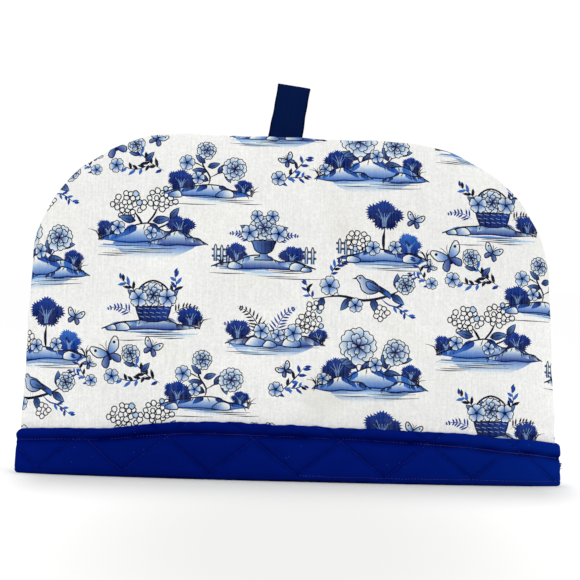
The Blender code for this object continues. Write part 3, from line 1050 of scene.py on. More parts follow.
def printed_shapes(side_name):
    """Every shape of the print that falls on one wall, in flat cloth millimetres."""
    shapes = []
    start = CUT_FROM[side_name]
    for column in range(4):
        for row in range(-1, 4):
            for title, u, v, tilt, size, over in LAYOUT:
                x = start[0] + u + REPEAT[0] * column
                y = start[1] + v + REPEAT[1] * row + 0.5 * REPEAT[1] * (column % 2)
                if abs(x) > FARTHEST_ACROSS or not FARTHEST_DOWN < y < FARTHEST_UP:
                    continue
                flip = np.array([-1.0 if over else 1.0, 1.0])
                for points, near, far, way in scenes[title]:
                    moved = off_the_edge(turned_to(points * flip, x, y, tilt, size))
                    ratio = share_of_cloth(moved[:, 0], moved[:, 1])[1]
                    if moved[:, 1].max() < BAND_HIDES or ratio.min() > 0.9999:
                        continue
                    shapes.append((moved, near, far, turned_to(way * flip, x, y, tilt, size)))
    return shapes


# %% [markdown]
# ## From drawings to a mesh
# The drawings have to be part of the mesh, because the lesson uses no picture files. Blender's
# `delaunay_2d_cdt` takes the cloth's edge, a grid of points and the edges of all the drawn shapes,
# and cuts them into triangles so that every drawn line is an edge of the mesh. Then each shape, in
# the order of drawing, claims the triangles inside it, so the last one drawn gives the colour. A point
# is inside a shape if the shape winds round it, which also works where a pen stroke crosses itself.
#
# Most of a drawing is hidden: the back half of a petal lies under the next one. So the cloth is cut
# twice. The first cut tells which edges show, between two different inks, and the second cut keeps
# only those, which leaves far fewer triangles.

# %% Points inside the cloth
GRID_UP = 3.4
GRID_ACROSS = 3.9
SEAM_ROWS = (1.0, 2.2, 3.7, 5.6, 8.0, 10.8)
CUT_PRECISION = 0.004


def cloth_grid():
    """Points inside the cloth: an even grid, and closer rows beside the seam."""
    rows = []
    for index, v in enumerate(np.arange(2.5, cut_height, GRID_UP)):
        u = np.arange(-cut_width / 2, cut_width / 2, GRID_ACROSS) + GRID_ACROSS / 2 * (index % 2)
        rows.append(np.stack([u, np.full(len(u), v)], 1))
    grid = np.concatenate(rows)
    grid = grid[share_of_cloth(grid[:, 0], grid[:, 1])[1] < 0.955]
    edge = cut_edge[cut_edge[:, 1] > 1.0]
    reach = np.hypot(edge[:, 0], edge[:, 1])[:, None]
    return np.concatenate([grid] + [edge * (1 - inside / reach) for inside in SEAM_ROWS])


# %% Cut along edges
def winds_round(shape, points):
    """True for each point that a closed shape winds round."""
    a, b = shape, np.roll(shape, -1, 0)
    x, y = points[:, 0, None], points[:, 1, None]
    left = (b[:, 0] - a[:, 0]) * (y - a[:, 1]) - (x - a[:, 0]) * (b[:, 1] - a[:, 1])
    up = (a[:, 1] <= y) & (b[:, 1] > y) & (left > 0)
    down = (a[:, 1] > y) & (b[:, 1] <= y) & (left < 0)
    return up.sum(1) != down.sum(1)


def cut(points, edges):
    """Cuts the cloth along edges. Gives the points and the triangles inside the cloth's edge."""
    made = delaunay_2d_cdt([Vector(point) for point in points], edges.tolist(), [], 0, CUT_PRECISION)
    flat = np.array([tuple(point) for point in made[0]])
    triangles = np.array(made[2])
    just_inside = grown(cut_edge, -0.003)
    return flat, triangles[winds_round(just_inside, flat[triangles].mean(1))]


def shape_on_top(flat, triangles, shapes):
    """The number of the last shape drawn over each triangle, or -1 where the cloth is bare."""
    first_of = {}
    middles = flat[triangles].mean(1)
    order = np.argsort(middles[:, 0])
    from_left = middles[order, 0]
    top = np.full(len(triangles), -1)
    for number, (outline, near, far, _) in enumerate(shapes):
        plain = np.array_equal(near, far)
        look = first_of.setdefault(tuple(near) if plain else number, number)
        low, high = outline.min(0), outline.max(0)
        first, last = np.searchsorted(from_left, (low[0], high[0]))
        close = order[first:last]
        close = close[(middles[close, 1] > low[1]) & (middles[close, 1] < high[1])]
        top[close[winds_round(outline, middles[close])]] = look
    return top


# %% Find the edges that show
def edges_of(triangles):
    """The three edges of each triangle, each as two points."""
    return np.concatenate([triangles[:, [0, 1]], triangles[:, [1, 2]], triangles[:, [2, 0]]])


def edges_that_show(triangles, top):
    """Edges between two inks, and the edges of the cloth itself."""
    ends = np.sort(edges_of(triangles), 1)
    inks = np.tile(top, 3)
    order = np.lexsort((ends[:, 1], ends[:, 0]))
    ends, inks = ends[order], inks[order]
    shared = np.zeros(len(ends), bool)
    shared[:-1] = (ends[1:] == ends[:-1]).all(1)
    second = np.roll(shared, 1)
    hidden = np.append(inks[1:] == inks[:-1], False) & shared
    return ends[~hidden & ~second]


def straightened(flat, edges, slack=0.02):
    """Takes out points on nearly straight stretches of drawn lines. The cloth's own edge stays."""
    on_edge = (flat[:, 1] < 1) | (share_of_cloth(flat[:, 0], flat[:, 1])[1] > 0.999)
    beside = {}
    for a, b in edges.tolist():
        beside.setdefault(a, []).append(b)
        beside.setdefault(b, []).append(a)
    for point, ends in list(beside.items()):
        if len(ends) != 2 or on_edge[point] or ends[0] == ends[1] or ends[1] in beside[ends[0]]:
            continue
        a, b = ends
        run, off = flat[b] - flat[a], flat[point] - flat[a]
        if abs(run[0] * off[1] - run[1] * off[0]) > slack * math.hypot(*run):
            continue
        beside[a][beside[a].index(point)] = b
        beside[b][beside[b].index(point)] = a
        del beside[point]
    return np.array([(a, b) for a, others in beside.items() for b in others if a < b])


# %% Cut twice, and take the inks
def cut_print(side_name):
    """Flat points, triangles and, for each triangle, the shape that it takes its colour from."""
    shapes = printed_shapes(side_name)
    outlines = [cut_edge] + [shape[0] for shape in shapes]
    edges, start = [], 0
    for outline in outlines:
        index = start + np.arange(len(outline))
        edges.append(np.stack([index, np.roll(index, -1)], 1))
        start += len(outline)
    flat, triangles = cut(np.concatenate(outlines), np.concatenate(edges))
    edges = edges_that_show(triangles, shape_on_top(flat, triangles, shapes))
    edges = straightened(flat, edges)
    used, index = np.unique(edges, return_inverse=True)
    flat, triangles = cut(np.concatenate([flat[used], cloth_grid()]), index.reshape(-1, 2))
    return flat, triangles, shape_on_top(flat, triangles, shapes), shapes


def corner_inks(flat, triangles, colours, shapes):
    """Ink at each corner of each triangle."""
    near = np.array([BARE] + [shape[1] for shape in shapes])
    far = np.array([BARE] + [shape[2] for shape in shapes])
    way = np.array([[(0, 0), (1, 0)]] + [shape[3] for shape in shapes])
    pick = colours + 1
    start = way[pick, 0][:, None]
    run = (way[pick, 1] - way[pick, 0])[:, None]
    corners = flat[triangles]
    share = np.clip(((corners - start) * run).sum(-1) / (run**2).sum(-1), 0, 1)[..., None]
    near, far = near[pick][:, None], far[pick][:, None]
    paint = near * (1 - share) + far * share
    dye = near ** (1 - share) * far**share
    return (1 - DYE) * paint + DYE * dye


# %% [markdown]
# ## A wall as one closed body
# The printed cloth is the outside of a padded wall. Its edge is folded in at the seam, and the inside
# of the wall closes the body: rings of points that shrink from the seam towards the middle. Normals
# are worked out from the formula and not from the triangles, because the print cuts the cloth into
# long thin triangles that would shade unevenly.

# %% Close a wall
INSIDE_MIDDLE = 100.0
INSIDE_RINGS = 16


def unit(vectors):
    """Vectors made one long."""
    return vectors / np.maximum(np.linalg.norm(vectors, axis=-1, keepdims=True), 1e-9)


def edge_loop(triangles):
    """The points round the edge of the triangles, in order."""
    known = {(a, b) for a, b in edges_of(triangles).tolist()}
    following = {a: b for a, b in known if (b, a) not in known}
    start = next(iter(following))
    loop = [start]
    while following[loop[-1]] != start:
        loop.append(following[loop[-1]])
        assert len(loop) <= len(following), "the cloth's edge crosses itself"
    return np.array(loop)


# %% The inside of a wall and its normals
def inner_rings(flat_loop, side_name):
    """Rings of points over the inside of a wall, from its seam margin to its middle."""
    side = SIDES[side_name]
    angle = np.arctan2(np.maximum(flat_loop[:, 1], 0.0), flat_loop[:, 0])
    reach = outline_reach(angle, SEAM_MARGIN)
    on_hem = flat_loop[:, 1] < 1e-6
    share = np.abs(flat_loop[:, 0]) / (cut_width / 2)
    distance = np.where(on_hem, np.minimum(share, 1.0) * (HALF_WIDTH - SEAM_MARGIN), reach)
    x = distance * np.cos(angle) * (-1 if side_name == "back" else 1)
    z = BOTTOM + distance * np.sin(angle)
    rings = []
    for ring in range(INSIDE_RINGS + 1):
        keep = 1 - (ring / INSIDE_RINGS) ** 1.4
        ring_x = x * keep
        ring_z = INSIDE_MIDDLE + (z - INSIDE_MIDDLE) * keep
        depth = GAP / 2 + wall_depth(ring_x, ring_z, side, SEAM_MARGIN, WALL)
        rings.append(settled(np.stack([ring_x, side * depth, ring_z], -1)))
    return rings[:-1], rings[-1][:1]


def cloth_normals(flat, side_name):
    """Outward normals of the laid cloth, from small steps on the flat cloth."""
    step = 0.35
    u, v = flat[:, 0], flat[:, 1]
    across = lay_cloth(u + step, v, side_name) - lay_cloth(u - step, v, side_name)
    up = lay_cloth(u, v + step, side_name) - lay_cloth(u, np.maximum(v - step, 0.0), side_name)
    return unit(np.cross(across, up))


# %% Build a mesh from arrays
def is_closed(faces):
    """True if each edge is used once in each direction."""
    ends = [(face[i], face[(i + 1) % len(face)]) for face in faces for i in range(len(face))]
    known = set(ends)
    return len(known) == len(ends) and all((b, a) in known for a, b in ends)


def new_piece(name, points, faces, *materials):
    """An object in metres from points in millimetres."""
    print(name, "closed:", is_closed(faces), "-", len(points), "points,", len(faces), "faces")
    mesh = bpy.data.meshes.new(name)
    mesh.from_pydata((np.asarray(points) * MM).tolist(), [], faces)
    mesh.shade_smooth()
    for material in materials:
        mesh.materials.append(material)
    piece = bpy.data.objects.new(name, mesh)
    bpy.context.scene.collection.objects.link(piece)
    return piece


def add_map(mesh, name, corners):
    """A UV map from one (u, v) a face corner."""
    layer = mesh.uv_layers.new(name=name)
    layer.data.foreach_set("uv", np.asarray(corners, np.float32).ravel())


def add_colours(mesh, name, domain, colours):
    """A colour attribute from one colour a point or a face corner."""
    layer = mesh.color_attributes.new(name, "FLOAT_COLOR", domain)
    layer.data.foreach_set("color", np.asarray(colours, np.float32).ravel())


# %% [markdown]
# ## Cloth, thread and ribbon finishes
# All the pieces are woven, so one node group draws a weave for all of them: threads over and under,
# with uneven, slubby thickness, as height for a bump and as a mask for colour. A second group gives
# the slow unevenness that used cloth has: greyer and yellower patches, as in the picture.
#
# The weave reads a map in metres of cloth, so that threads run along each piece as it was cut. The
# patches read the place in the room, so that they run on from piece to piece. `woven` puts both into
# a material, and each finish is a small function that mixes its colour from them.

# %% Node helpers
def add_node(tree, kind, **settings):
    """A node with its settings."""
    node = tree.nodes.new(kind)
    for key, value in settings.items():
        setattr(node, key, value)
    return node


def feed(tree, sockets, values):
    """Gives each socket a number or a colour, or links it to another node's output."""
    for socket, value in zip(sockets, values):
        if isinstance(value, (int, float, tuple)):
            socket.default_value = value
        else:
            tree.links.new(value, socket)


def math_node(tree, operation, *values):
    """The result of a Math node."""
    node = add_node(tree, "ShaderNodeMath", operation=operation)
    feed(tree, node.inputs, values)
    return node.outputs[0]


def times(tree, first, second):
    """Two values multiplied."""
    return math_node(tree, "MULTIPLY", first, second)


def ranged(tree, value, low, high, to_low=0.0, to_high=1.0, kind="LINEAR"):
    """A value moved from one range to another, and held at its ends."""
    node = add_node(tree, "ShaderNodeMapRange", interpolation_type=kind)
    feed(tree, node.inputs, (value, low, high, to_low, to_high))
    return node.outputs[0]


def mix_colours(tree, share, first, second, blend="MIX"):
    """A colour mixed from two."""
    node = add_node(tree, "ShaderNodeMix", data_type="RGBA", blend_type=blend)
    feed(tree, [node.inputs[index] for index in (0, 6, 7)], (share, first, second))
    return node.outputs[2]


# %% Textures, maps and groups
def noise(tree, vector, scale, detail=2.0, roughness=0.5):
    """The value of a noise texture."""
    node = add_node(tree, "ShaderNodeTexNoise")
    sockets = [node.inputs[name] for name in ("Vector", "Scale", "Detail", "Roughness")]
    feed(tree, sockets, (vector, scale, detail, roughness))
    return node.outputs["Fac"]


def moved_map(tree, vector, scale=(1.0, 1.0, 1.0), place=(0.0, 0.0, 0.0)):
    """A map squeezed by its scale, and then moved."""
    node = add_node(tree, "ShaderNodeMapping")
    sockets = [node.inputs[name] for name in ("Vector", "Location", "Scale")]
    feed(tree, sockets, (vector, place, scale))
    return node.outputs[0]


def split(tree, vector):
    """The numbers across, along and up of a place."""
    node = add_node(tree, "ShaderNodeSeparateXYZ")
    feed(tree, node.inputs, (vector,))
    return node.outputs


def new_group(title, inputs, outputs):
    """A node group with its sockets. Gives the group, what comes in and what goes out."""
    tree = bpy.data.node_groups.new(title, "ShaderNodeTree")
    for name, kind in inputs.items():
        tree.interface.new_socket(name=name, in_out="INPUT", socket_type=kind)
    for name in outputs:
        tree.interface.new_socket(name=name, in_out="OUTPUT", socket_type="NodeSocketFloat")
    start = add_node(tree, "NodeGroupInput")
    end = add_node(tree, "NodeGroupOutput")
    return tree, start.outputs, end.inputs


# %% The weave group and the patches group
def weave_group():
    """Over-and-under threads with slubs."""
    inputs = {"Cloth map": "NodeSocketVector", "Threads per metre": "NodeSocketFloat"}
    tree, start, end = new_group("Woven cloth", inputs, ("Height", "Slubs"))
    cloth = start["Cloth map"]
    warp_noise = noise(tree, moved_map(tree, cloth, (900.0, 42.0, 1.0)), 1.0, 3.0, 0.6)
    weft_noise = noise(tree, moved_map(tree, cloth, (36.0, 760.0, 1.0)), 1.0, 3.0, 0.6)
    turn = times(tree, start["Threads per metre"], math.pi)
    across, along, _ = split(tree, cloth)
    warp = math_node(tree, "SINE", times(tree, across, turn))
    weft = math_node(tree, "SINE", times(tree, along, turn))
    threads = math_node(tree, "MULTIPLY_ADD", times(tree, warp, weft), 0.5, 0.5)
    slubs = math_node(tree, "ADD", times(tree, warp_noise, 0.74), times(tree, weft_noise, 0.26))
    height = math_node(tree, "ADD", times(tree, threads, 0.45), times(tree, slubs, 0.55))
    feed(tree, end, (height, slubs))
    return tree


def patches_group():
    """Slow, faint changes of tone over used cloth."""
    tree, start, end = new_group("Used cloth patches", {"Place": "NodeSocketVector"}, ("Grey", "Tan"))
    place = start["Place"]
    elsewhere = moved_map(tree, place, place=(0.37, 0.11, 0.23))
    grey = ranged(tree, noise(tree, place, 14.0, 3.0, 0.55), 0.40, 0.72)
    tan = ranged(tree, noise(tree, elsewhere, 26.0, 4.0, 0.6), 0.56, 0.78)
    feed(tree, end, (grey, tan))
    return tree


woven_cloth = weave_group()
used_patches = patches_group()


# %% A woven material
def woven(name, paint, threads, roughness, bumps, depth, shine=0.0):
    """A material with the weave as a bump. `paint` makes its colour from maps of the cloth."""
    material = bpy.data.materials.new(name)
    material.use_nodes = True
    tree = material.node_tree
    shader = tree.nodes["Principled BSDF"]
    shader.inputs["Roughness"].default_value = roughness
    shader.inputs["Metallic"].default_value = 0.0
    shader.inputs["Specular IOR Level"].default_value = shine
    cloth = add_node(tree, "ShaderNodeUVMap", uv_map="cloth").outputs[0]
    place = add_node(tree, "ShaderNodeTexCoord").outputs["Object"]
    weave = add_node(tree, "ShaderNodeGroup", node_tree=woven_cloth)
    feed(tree, weave.inputs, (cloth, threads))
    patches = add_node(tree, "ShaderNodeGroup", node_tree=used_patches)
    feed(tree, patches.inputs, (place,))
    maps = {"cloth": cloth, "place": place, "slubs": weave.outputs["Slubs"]}
    maps.update(grey=patches.outputs["Grey"], tan=patches.outputs["Tan"])
    bump = add_node(tree, "ShaderNodeBump")
    bump.inputs["Strength"].default_value = bumps
    bump.inputs["Distance"].default_value = depth
    tree.links.new(weave.outputs["Height"], bump.inputs["Height"])
    tree.links.new(bump.outputs[0], shader.inputs["Normal"])
    tree.links.new(paint(tree, maps), shader.inputs["Base Color"])
    return material


# %% Printed cotton
# Colours are shares of red, green and blue light.
WHITE_COTTON = (0.825, 0.828, 0.806, 1)
GREYER_COTTON = (0.772, 0.776, 0.756, 1)
TAN_COTTON = (0.735, 0.700, 0.630, 1)
HOLLOW_SHADE_COTTON = (0.66, 0.64, 0.58, 1)
HOLLOW_SHADE_PLACE = (0.024, -0.034, 0.060)


def printed_cotton(tree, maps):
    """White cotton with ink that lets a little of the cloth through, on a ground with painted light and
    shade.
    """
    place, slubs = maps["place"], maps["slubs"]
    across, _, up = split(tree, place)
    ground = mix_colours(tree, maps["grey"], WHITE_COTTON, GREYER_COTTON)
    ground = mix_colours(tree, times(tree, maps["tan"], 0.42), ground, TAN_COTTON)
    mottle = noise(tree, place, 520.0, 3.0, 0.65)
    # Painted light and shade in the last two rows: the cloth is painted brighter near the hem, darker
    # higher up and a little darker towards the right. The slubs and mottle are the cloth's own tone.
    for value, low, high, to_low, to_high in (
        (slubs, 0.30, 0.70, 0.915, 1.065),
        (mottle, 0.30, 0.70, 0.905, 1.07),
        (up, 0.03, 0.20, 1.09, 0.985),
        (across, -0.06, 0.17, 1.0, 0.945),
    ):
        tone = ranged(tree, value, low, high, to_low, to_high)
        ground = mix_colours(tree, 1.0, ground, tone, "MULTIPLY")
    # Painted shade of a shallow hollow above the band: a soft darker patch round one place.
    hollow_distance = add_node(tree, "ShaderNodeVectorMath", operation="DISTANCE")
    feed(tree, hollow_distance.inputs, (place, HOLLOW_SHADE_PLACE))
    hollow_shade = ranged(tree, hollow_distance.outputs["Value"], 0.004, 0.026, 0.42, 0.0, "SMOOTHSTEP")
    ground = mix_colours(tree, hollow_shade, ground, HOLLOW_SHADE_COTTON)
    ink = add_node(tree, "ShaderNodeVertexColor", layer_name="print").outputs["Color"]
    worn = ranged(tree, slubs, 0.42, 0.72, 0.0, 0.05)
    worn_ink = mix_colours(tree, worn, ink, (1, 1, 1, 1))
    return mix_colours(tree, 1.0, ground, worn_ink, "MULTIPLY")


# %% Quilted cotton
ROYAL_BLUE = (0.0005, 0.0056, 0.124, 1)
GREYER_BLUE = (0.0007, 0.0080, 0.150, 1)
SLUB_BLUE = (0.0013, 0.0110, 0.172, 1)
PALER_END_BLUE = (0.0014, 0.0210, 0.225, 1)
GROOVE_SHADE_BLUE = (0.0002, 0.0016, 0.070, 1)
LINT = (0.10, 0.13, 0.34, 1)
RIBBON_NAVY = (0.0014, 0.0064, 0.040, 1)
RIBBON_SLUB = (0.0028, 0.0108, 0.062, 1)
RIBBON_EDGE = (0.0012, 0.0022, 0.014, 1)
DARK_MAUVE = (0.030, 0.024, 0.170, 1)
LIGHT_MAUVE = (0.130, 0.080, 0.330, 1)
DARK_THREAD = (0.008, 0.018, 0.180, 1)
LIGHT_THREAD = (0.040, 0.052, 0.320, 1)


def quilted_cotton(tree, maps):
    """Royal blue cotton, a little paler on its highest threads and to the right, with lint and with
    painted shade in the stitched grooves.
    """
    place = maps["place"]
    tone = mix_colours(tree, maps["grey"], ROYAL_BLUE, GREYER_BLUE)
    tone = mix_colours(tree, times(tree, maps["slubs"], 0.5), tone, SLUB_BLUE)
    # The band's tone turns paler towards its right end.
    towards_right = ranged(tree, split(tree, place)[0], 0.09, 0.20, 0.0, 0.66)
    tone = mix_colours(tree, towards_right, tone, PALER_END_BLUE)
    # Painted shade: the tone turns darker blue where the stitches pull the cloth in.
    groove_shade = add_node(tree, "ShaderNodeVertexColor", layer_name="painted_groove_shade")
    depth = add_node(tree, "ShaderNodeSeparateColor")
    feed(tree, depth.inputs, (groove_shade.outputs["Color"],))
    tone = mix_colours(tree, depth.outputs[0], tone, GROOVE_SHADE_BLUE)
    lint = add_node(tree, "ShaderNodeTexVoronoi")
    feed(tree, [lint.inputs["Vector"], lint.inputs["Scale"]], (place, 210.0))
    speck = math_node(tree, "LESS_THAN", lint.outputs["Distance"], 0.075)
    sparse = math_node(tree, "GREATER_THAN", noise(tree, place, 60.0), 0.56)
    speck = times(tree, times(tree, speck, sparse), 0.30)
    return mix_colours(tree, speck, tone, LINT)


# %% Thread and ribbon
def sewing_thread(dark, light):
    """Paint for a twisted thread, from its dark turns to its light ones."""
    def paint(tree, maps):
        return mix_colours(tree, noise(tree, maps["place"], 700.0), dark, light)
    return paint


def navy_ribbon(tree, maps):
    """Ribbed navy, darker towards the woven edges."""
    off_middle = math_node(tree, "SUBTRACT", split(tree, maps["cloth"])[0], 0.0115)
    edge = times(tree, ranged(tree, math_node(tree, "ABSOLUTE", off_middle), 0.0098, 0.0112), 0.75)
    tone = mix_colours(tree, maps["slubs"], RIBBON_NAVY, RIBBON_SLUB)
    return mix_colours(tree, edge, tone, RIBBON_EDGE)


mauve = sewing_thread(DARK_MAUVE, LIGHT_MAUVE)
blue = sewing_thread(DARK_THREAD, LIGHT_THREAD)
printed = woven("printed_cotton", printed_cotton, 2800.0, 0.85, 0.30, 0.00012)
quilted = woven("quilted_cotton", quilted_cotton, 2400.0, 0.86, 0.45, 0.00016)
mauve_thread = woven("mauve_thread", mauve, 2400.0, 0.75, 0.3, 0.0001, 0.05)
blue_thread = woven("blue_thread", blue, 2400.0, 0.75, 0.3, 0.0001, 0.05)
ribbon_cloth = woven("ribbon", navy_ribbon, 3200.0, 0.8, 0.35, 0.0001)
print("materials:", [material.name for material in bpy.data.materials])


# %% [markdown]
# ## The two walls
# Everything is ready for the walls. The flat cloth is cut along its print, laid on the wall and
# closed with its inside, and each corner of each triangle gets its ink as a colour attribute. The
# back wall is made in the same way from another part of the printed cloth.

# %% Make a printed wall
def printed_wall(name, side_name):
    """The padded wall of one side, with its print."""
    flat, triangles, colours, shapes = cut_print(side_name)
    used, triangles = np.unique(triangles, return_inverse=True)
    triangles = triangles.reshape(-1, 3)
    flat = flat[used]
    outside = lay_cloth(flat[:, 0], flat[:, 1], side_name)
    loop = edge_loop(triangles)
    rings, middle = inner_rings(flat[loop], side_name)
    count = len(loop)
    points = np.concatenate([outside] + rings + [middle])
    starts = [loop] + [len(outside) + ring * count + np.arange(count) for ring in range(len(rings))]
    inside = []
    for upper, lower in zip(starts, starts[1:]):
        inside += np.stack([np.roll(upper, -1), upper, lower, np.roll(lower, -1)], 1).tolist()
    last = starts[-1]
    hub = len(points) - 1
    inside += [[b, a, hub] for a, b in zip(last.tolist(), np.roll(last, -1).tolist())]
    faces = triangles.tolist() + inside
    wall = new_piece(name, points, faces, printed, quilted)
    corners = np.array([index for face in faces for index in face])
    outer_count = 3 * len(triangles)
    inks = np.ones((len(corners), 4), np.float32)
    inks[:outer_count, :3] = corner_inks(flat, triangles, colours, shapes).reshape(-1, 3)
    add_colours(wall.data, "print", "CORNER", inks)
    slots = np.zeros(len(faces), np.int32)
    slots[len(triangles) + count:] = 1
    wall.data.polygons.foreach_set("material_index", slots)
    outside_map = flat[corners[:outer_count]] * MM
    inside_map = points[corners[outer_count:]][:, [0, 2]] * MM
    add_map(wall.data, "cloth", np.concatenate([outside_map, inside_map + (0.0, 0.3)]))
    outside_bake = outside_map * 2.2 + (0.5, 0.01)
    add_map(wall.data, "OFBake", np.concatenate([outside_bake, inside_map * 1.5 + (0.5, 0.6)]))
    normals = np.array([vertex.normal for vertex in wall.data.vertices])
    normals[:len(outside)] = cloth_normals(flat, side_name)
    normals[loop] = [wall.data.vertices[int(index)].normal for index in loop]
    wall.data.normals_split_custom_set_from_vertices(normals.tolist())
    return wall


front_print = printed_wall("front_print", "front")
back_print = printed_wall("back_print", "back")

# %% [markdown]
# ## The quilted hem band
# The band is a strip of thin quilted cotton, folded under the walls and stitched down near its upper
# edge. Its quilting runs in slanted lines, 61 mm from one to the next along the band. Between the
# lines the wadding puffs up. Along each line the cloth is pulled in, with tiny puckers at the stitches.
#
# A place on the band is a share of the half width, from -1 to 1, and a height. A table gives the
# section of the band as offsets from the walls, and the quilting is added to the offset.

# %% Sizes of the band
BAND_TOP = 33.3
BAND_RISE = 5.0
ROW_BELOW_EDGE = 8.1
PUFF_HEIGHT = 1.5
QUILT_BELOW_EDGE = 8.9
QUILT_FOOT = 3.5
SIDE_EASE = 1.15
INNER_SIDE_EASE = 2.2
HEM_ROW_HEIGHT = 3.6
STITCH = 2.2
LINE_PITCH = 61.0
LINE_SLANT = 1.24
LINES_CROSS_AT = 28.5
CROSSINGS = {"front": -24.0, "back": 6.0}
STATION = 1.15

# How the folded edge wanders off its even curve: shares from left to right, and mm upwards.
WANDERS = smooth_line([
    (-1.05, -2.0), (-0.86, -1.6), (-0.67, -2.2), (-0.5, 0.4), (-0.3, 2.8), (-0.1, 1.9), (0.1, 0.1),
    (0.3, 0.1), (0.5, 0.2), (0.66, -0.1), (0.78, -1.5), (0.9, -1.7), (1.0, -3.0),
], 6)


def wander(share):
    """How far the folded edge lies above its even curve."""
    return np.interp(share, WANDERS[:, 0], WANDERS[:, 1])


def band_top(share):
    """Height of the band's folded edge, higher in the middle and slightly wavy."""
    waver = waves(share, (0.35, 9.0, 0.0), (0.25, 23.0, 0.0), (0.22, 61.0, 1.0), (0.16, 137.0, 0.0))
    even = BAND_TOP + (BAND_RISE + waver) * (1 - share**2)
    left_corner = 2.4 * bell((1 + share) * HALF_WIDTH, 2.0)
    right_corner = 0.7 * bell((1 - share) * HALF_WIDTH, 0.9)
    return even + wander(share) - left_corner - right_corner


def stitch_height(share):
    """Height of the row of stitches below the folded edge. It is straighter than the edge."""
    even = BAND_TOP + (BAND_RISE + 0.35 * np.sin(9.0 * share)) * (1 - share**2) - ROW_BELOW_EDGE
    return even + 0.85 * wander(share) - 3.0 * np.clip((share - 0.35) / 0.65, 0, 1)


# %% Where stations stand round the band
turn_table = np.linspace(0, math.pi, 6001)
share_table = -np.sign(np.cos(turn_table)) * np.abs(np.cos(turn_table)) ** (2 / FLATNESS)
table_steps = np.hypot(np.diff(share_table * HALF_WIDTH), np.diff(bulge(np.abs(share_table))))
run_table = np.concatenate([[0], np.cumsum(table_steps)])
SIDE_RUN = float(run_table[-1])


def share_at(run, side_name):
    """Share of the half width, from left to right, at a distance along the cloth from the middle."""
    share = np.interp(run + SIDE_RUN / 2, run_table, share_table)
    return share if side_name == "front" else -share


print("band length round both sides:", round(2 * SIDE_RUN), "mm")


# %% Quilting
def line_distance(run, z, side_name, way):
    """Distance to the nearest slanted line of stitches, and the place along it."""
    rise = z - LINES_CROSS_AT
    stretch = math.hypot(1.0, LINE_SLANT)
    phase = (run - CROSSINGS[side_name] + way * LINE_SLANT * rise) / LINE_PITCH
    off = np.abs(phase - np.round(phase)) * LINE_PITCH / stretch
    return off, (rise - way * LINE_SLANT * run) / stretch


def quilting(run, z, side_name):
    """Puffs and stitched lines of the outer face, in mm outwards."""
    share = share_at(run, side_name)
    puff = np.ones(np.broadcast(run, z).shape)
    groove = np.zeros(puff.shape)
    end_ease = np.clip((SIDE_RUN / 2 - np.abs(run)) / 8.0, 0.25, 1)
    for way in (-1, 1):
        off, along = line_distance(run, z, side_name, way)
        puff = puff * (1 - 0.8 * bell(off, 5.5))
        pull = 0.95 + 0.25 * np.sin(along * 2 * math.pi / STITCH)
        groove = groove + pull * bell(off, 0.95)
        groove = groove + 0.2 * np.sin(along / 1.1 + 2 * np.sin(along / 5)) * bell(off, 3.2)
    row = z - stitch_height(share)
    groove = groove + (1.7 + 0.3 * np.sin(run * 2 * math.pi / STITCH)) * bell(row, 1.25)
    groove = groove + 0.6 * bell(row + 2.4, 2.4)
    gathers = np.sin(run / 2.3 + 2.2 * np.sin(run / 19.0)) + 0.6 * np.sin(run / 5.1)
    gathers = 0.26 * gathers * bell(row, 4.2)
    puff = puff * (1 - 0.65 * bell(row, 2.6))
    fold_edge = 0.36 * bell(row - 4.2, 2.4)
    hem_row = 0.35 * bell(z - HEM_ROW_HEIGHT, 0.8)
    lumps = 0.28 * soft_noise(run, z * 1.6, 31.0, 5 if side_name == "front" else 6)
    lumps = lumps + 0.12 * soft_noise(run, z, 9.0, 7)
    seam = bell(SIDE_RUN / 2 - np.abs(run), 1.0)
    fade = np.clip(z / 4.0, 0, 1)
    relief = (PUFF_HEIGHT * puff - groove + gathers + fold_edge + lumps) * end_ease
    return np.maximum(relief * fade - hem_row - seam * fade, -1.75)


# %% How deep the stitches pull
def painted_groove_shade(run, z, side_name):
    """Painted shade where the stitches pull the cloth in, from 0 to 1. Light hardly reaches there."""
    row = z - stitch_height(share_at(run, side_name))
    share = 0.75 * bell(row - 0.4, 3.2)
    for way in (-1, 1):
        off, _ = line_distance(run, z, side_name, way)
        share = np.maximum(share, 0.34 * bell(off, 1.9))
    return share * (0.8 + 0.3 * soft_noise(run, z, 22.0, 9))


# %% Section of the band
def section_rows():
    """Rows of the section: face, offset from the wall, height, and how much quilting it takes.

    A plain height is measured up from the hem. One with `top` is measured down from the folded edge,
    and one with `share` is a share of the way down the quilted face.
    """
    folded_edge = [(1.5, 0.0, 0.1), (2.1, 0.15, 0.25), (2.6, 0.5, 0.45), (2.95, 1.1, 0.7)]
    hem_fold = [(2.7, 2.6, 0.9), (2.45, 1.7, 0.7), (2.05, 0.95, 0.4), (1.5, 0.4, 0.2), (0.8, 0.1, 0.1)]
    inner_leg = [(0.2, 0.0), (1.2, 0.3), (1.9, 1.1), (2.4, 3.0), (2.4, 6.5), (2.3, 10.3), (1.4, 12.0)]
    inner_leg += [(0.5, 11.2), (0.3, 3.0)]
    against_wall = [(0.3, 3.0), (0.3, 17.5), (0.3, ("top", 2.4)), (0.6, ("top", 0.7)), (1.0, ("top", 0.2))]
    rows = [("outer", offset, ("top", down), quilt) for offset, down, quilt in folded_edge]
    rows += [("outer", 3.05, ("top", 2.0 + step), 1.0) for step in range(7)]
    rows += [("outer", 2.75, ("share", step / 24), 1.0) for step in range(25)]
    rows += [("outer", *row) for row in hem_fold + [(0.2, 0.0, 0.0)]]
    rows += [("inner", offset, height, 0.0) for offset, height in inner_leg]
    rows += [("outer", offset, height, 0.0) for offset, height in against_wall]
    return rows


print("rows in the band's section:", len(section_rows()))


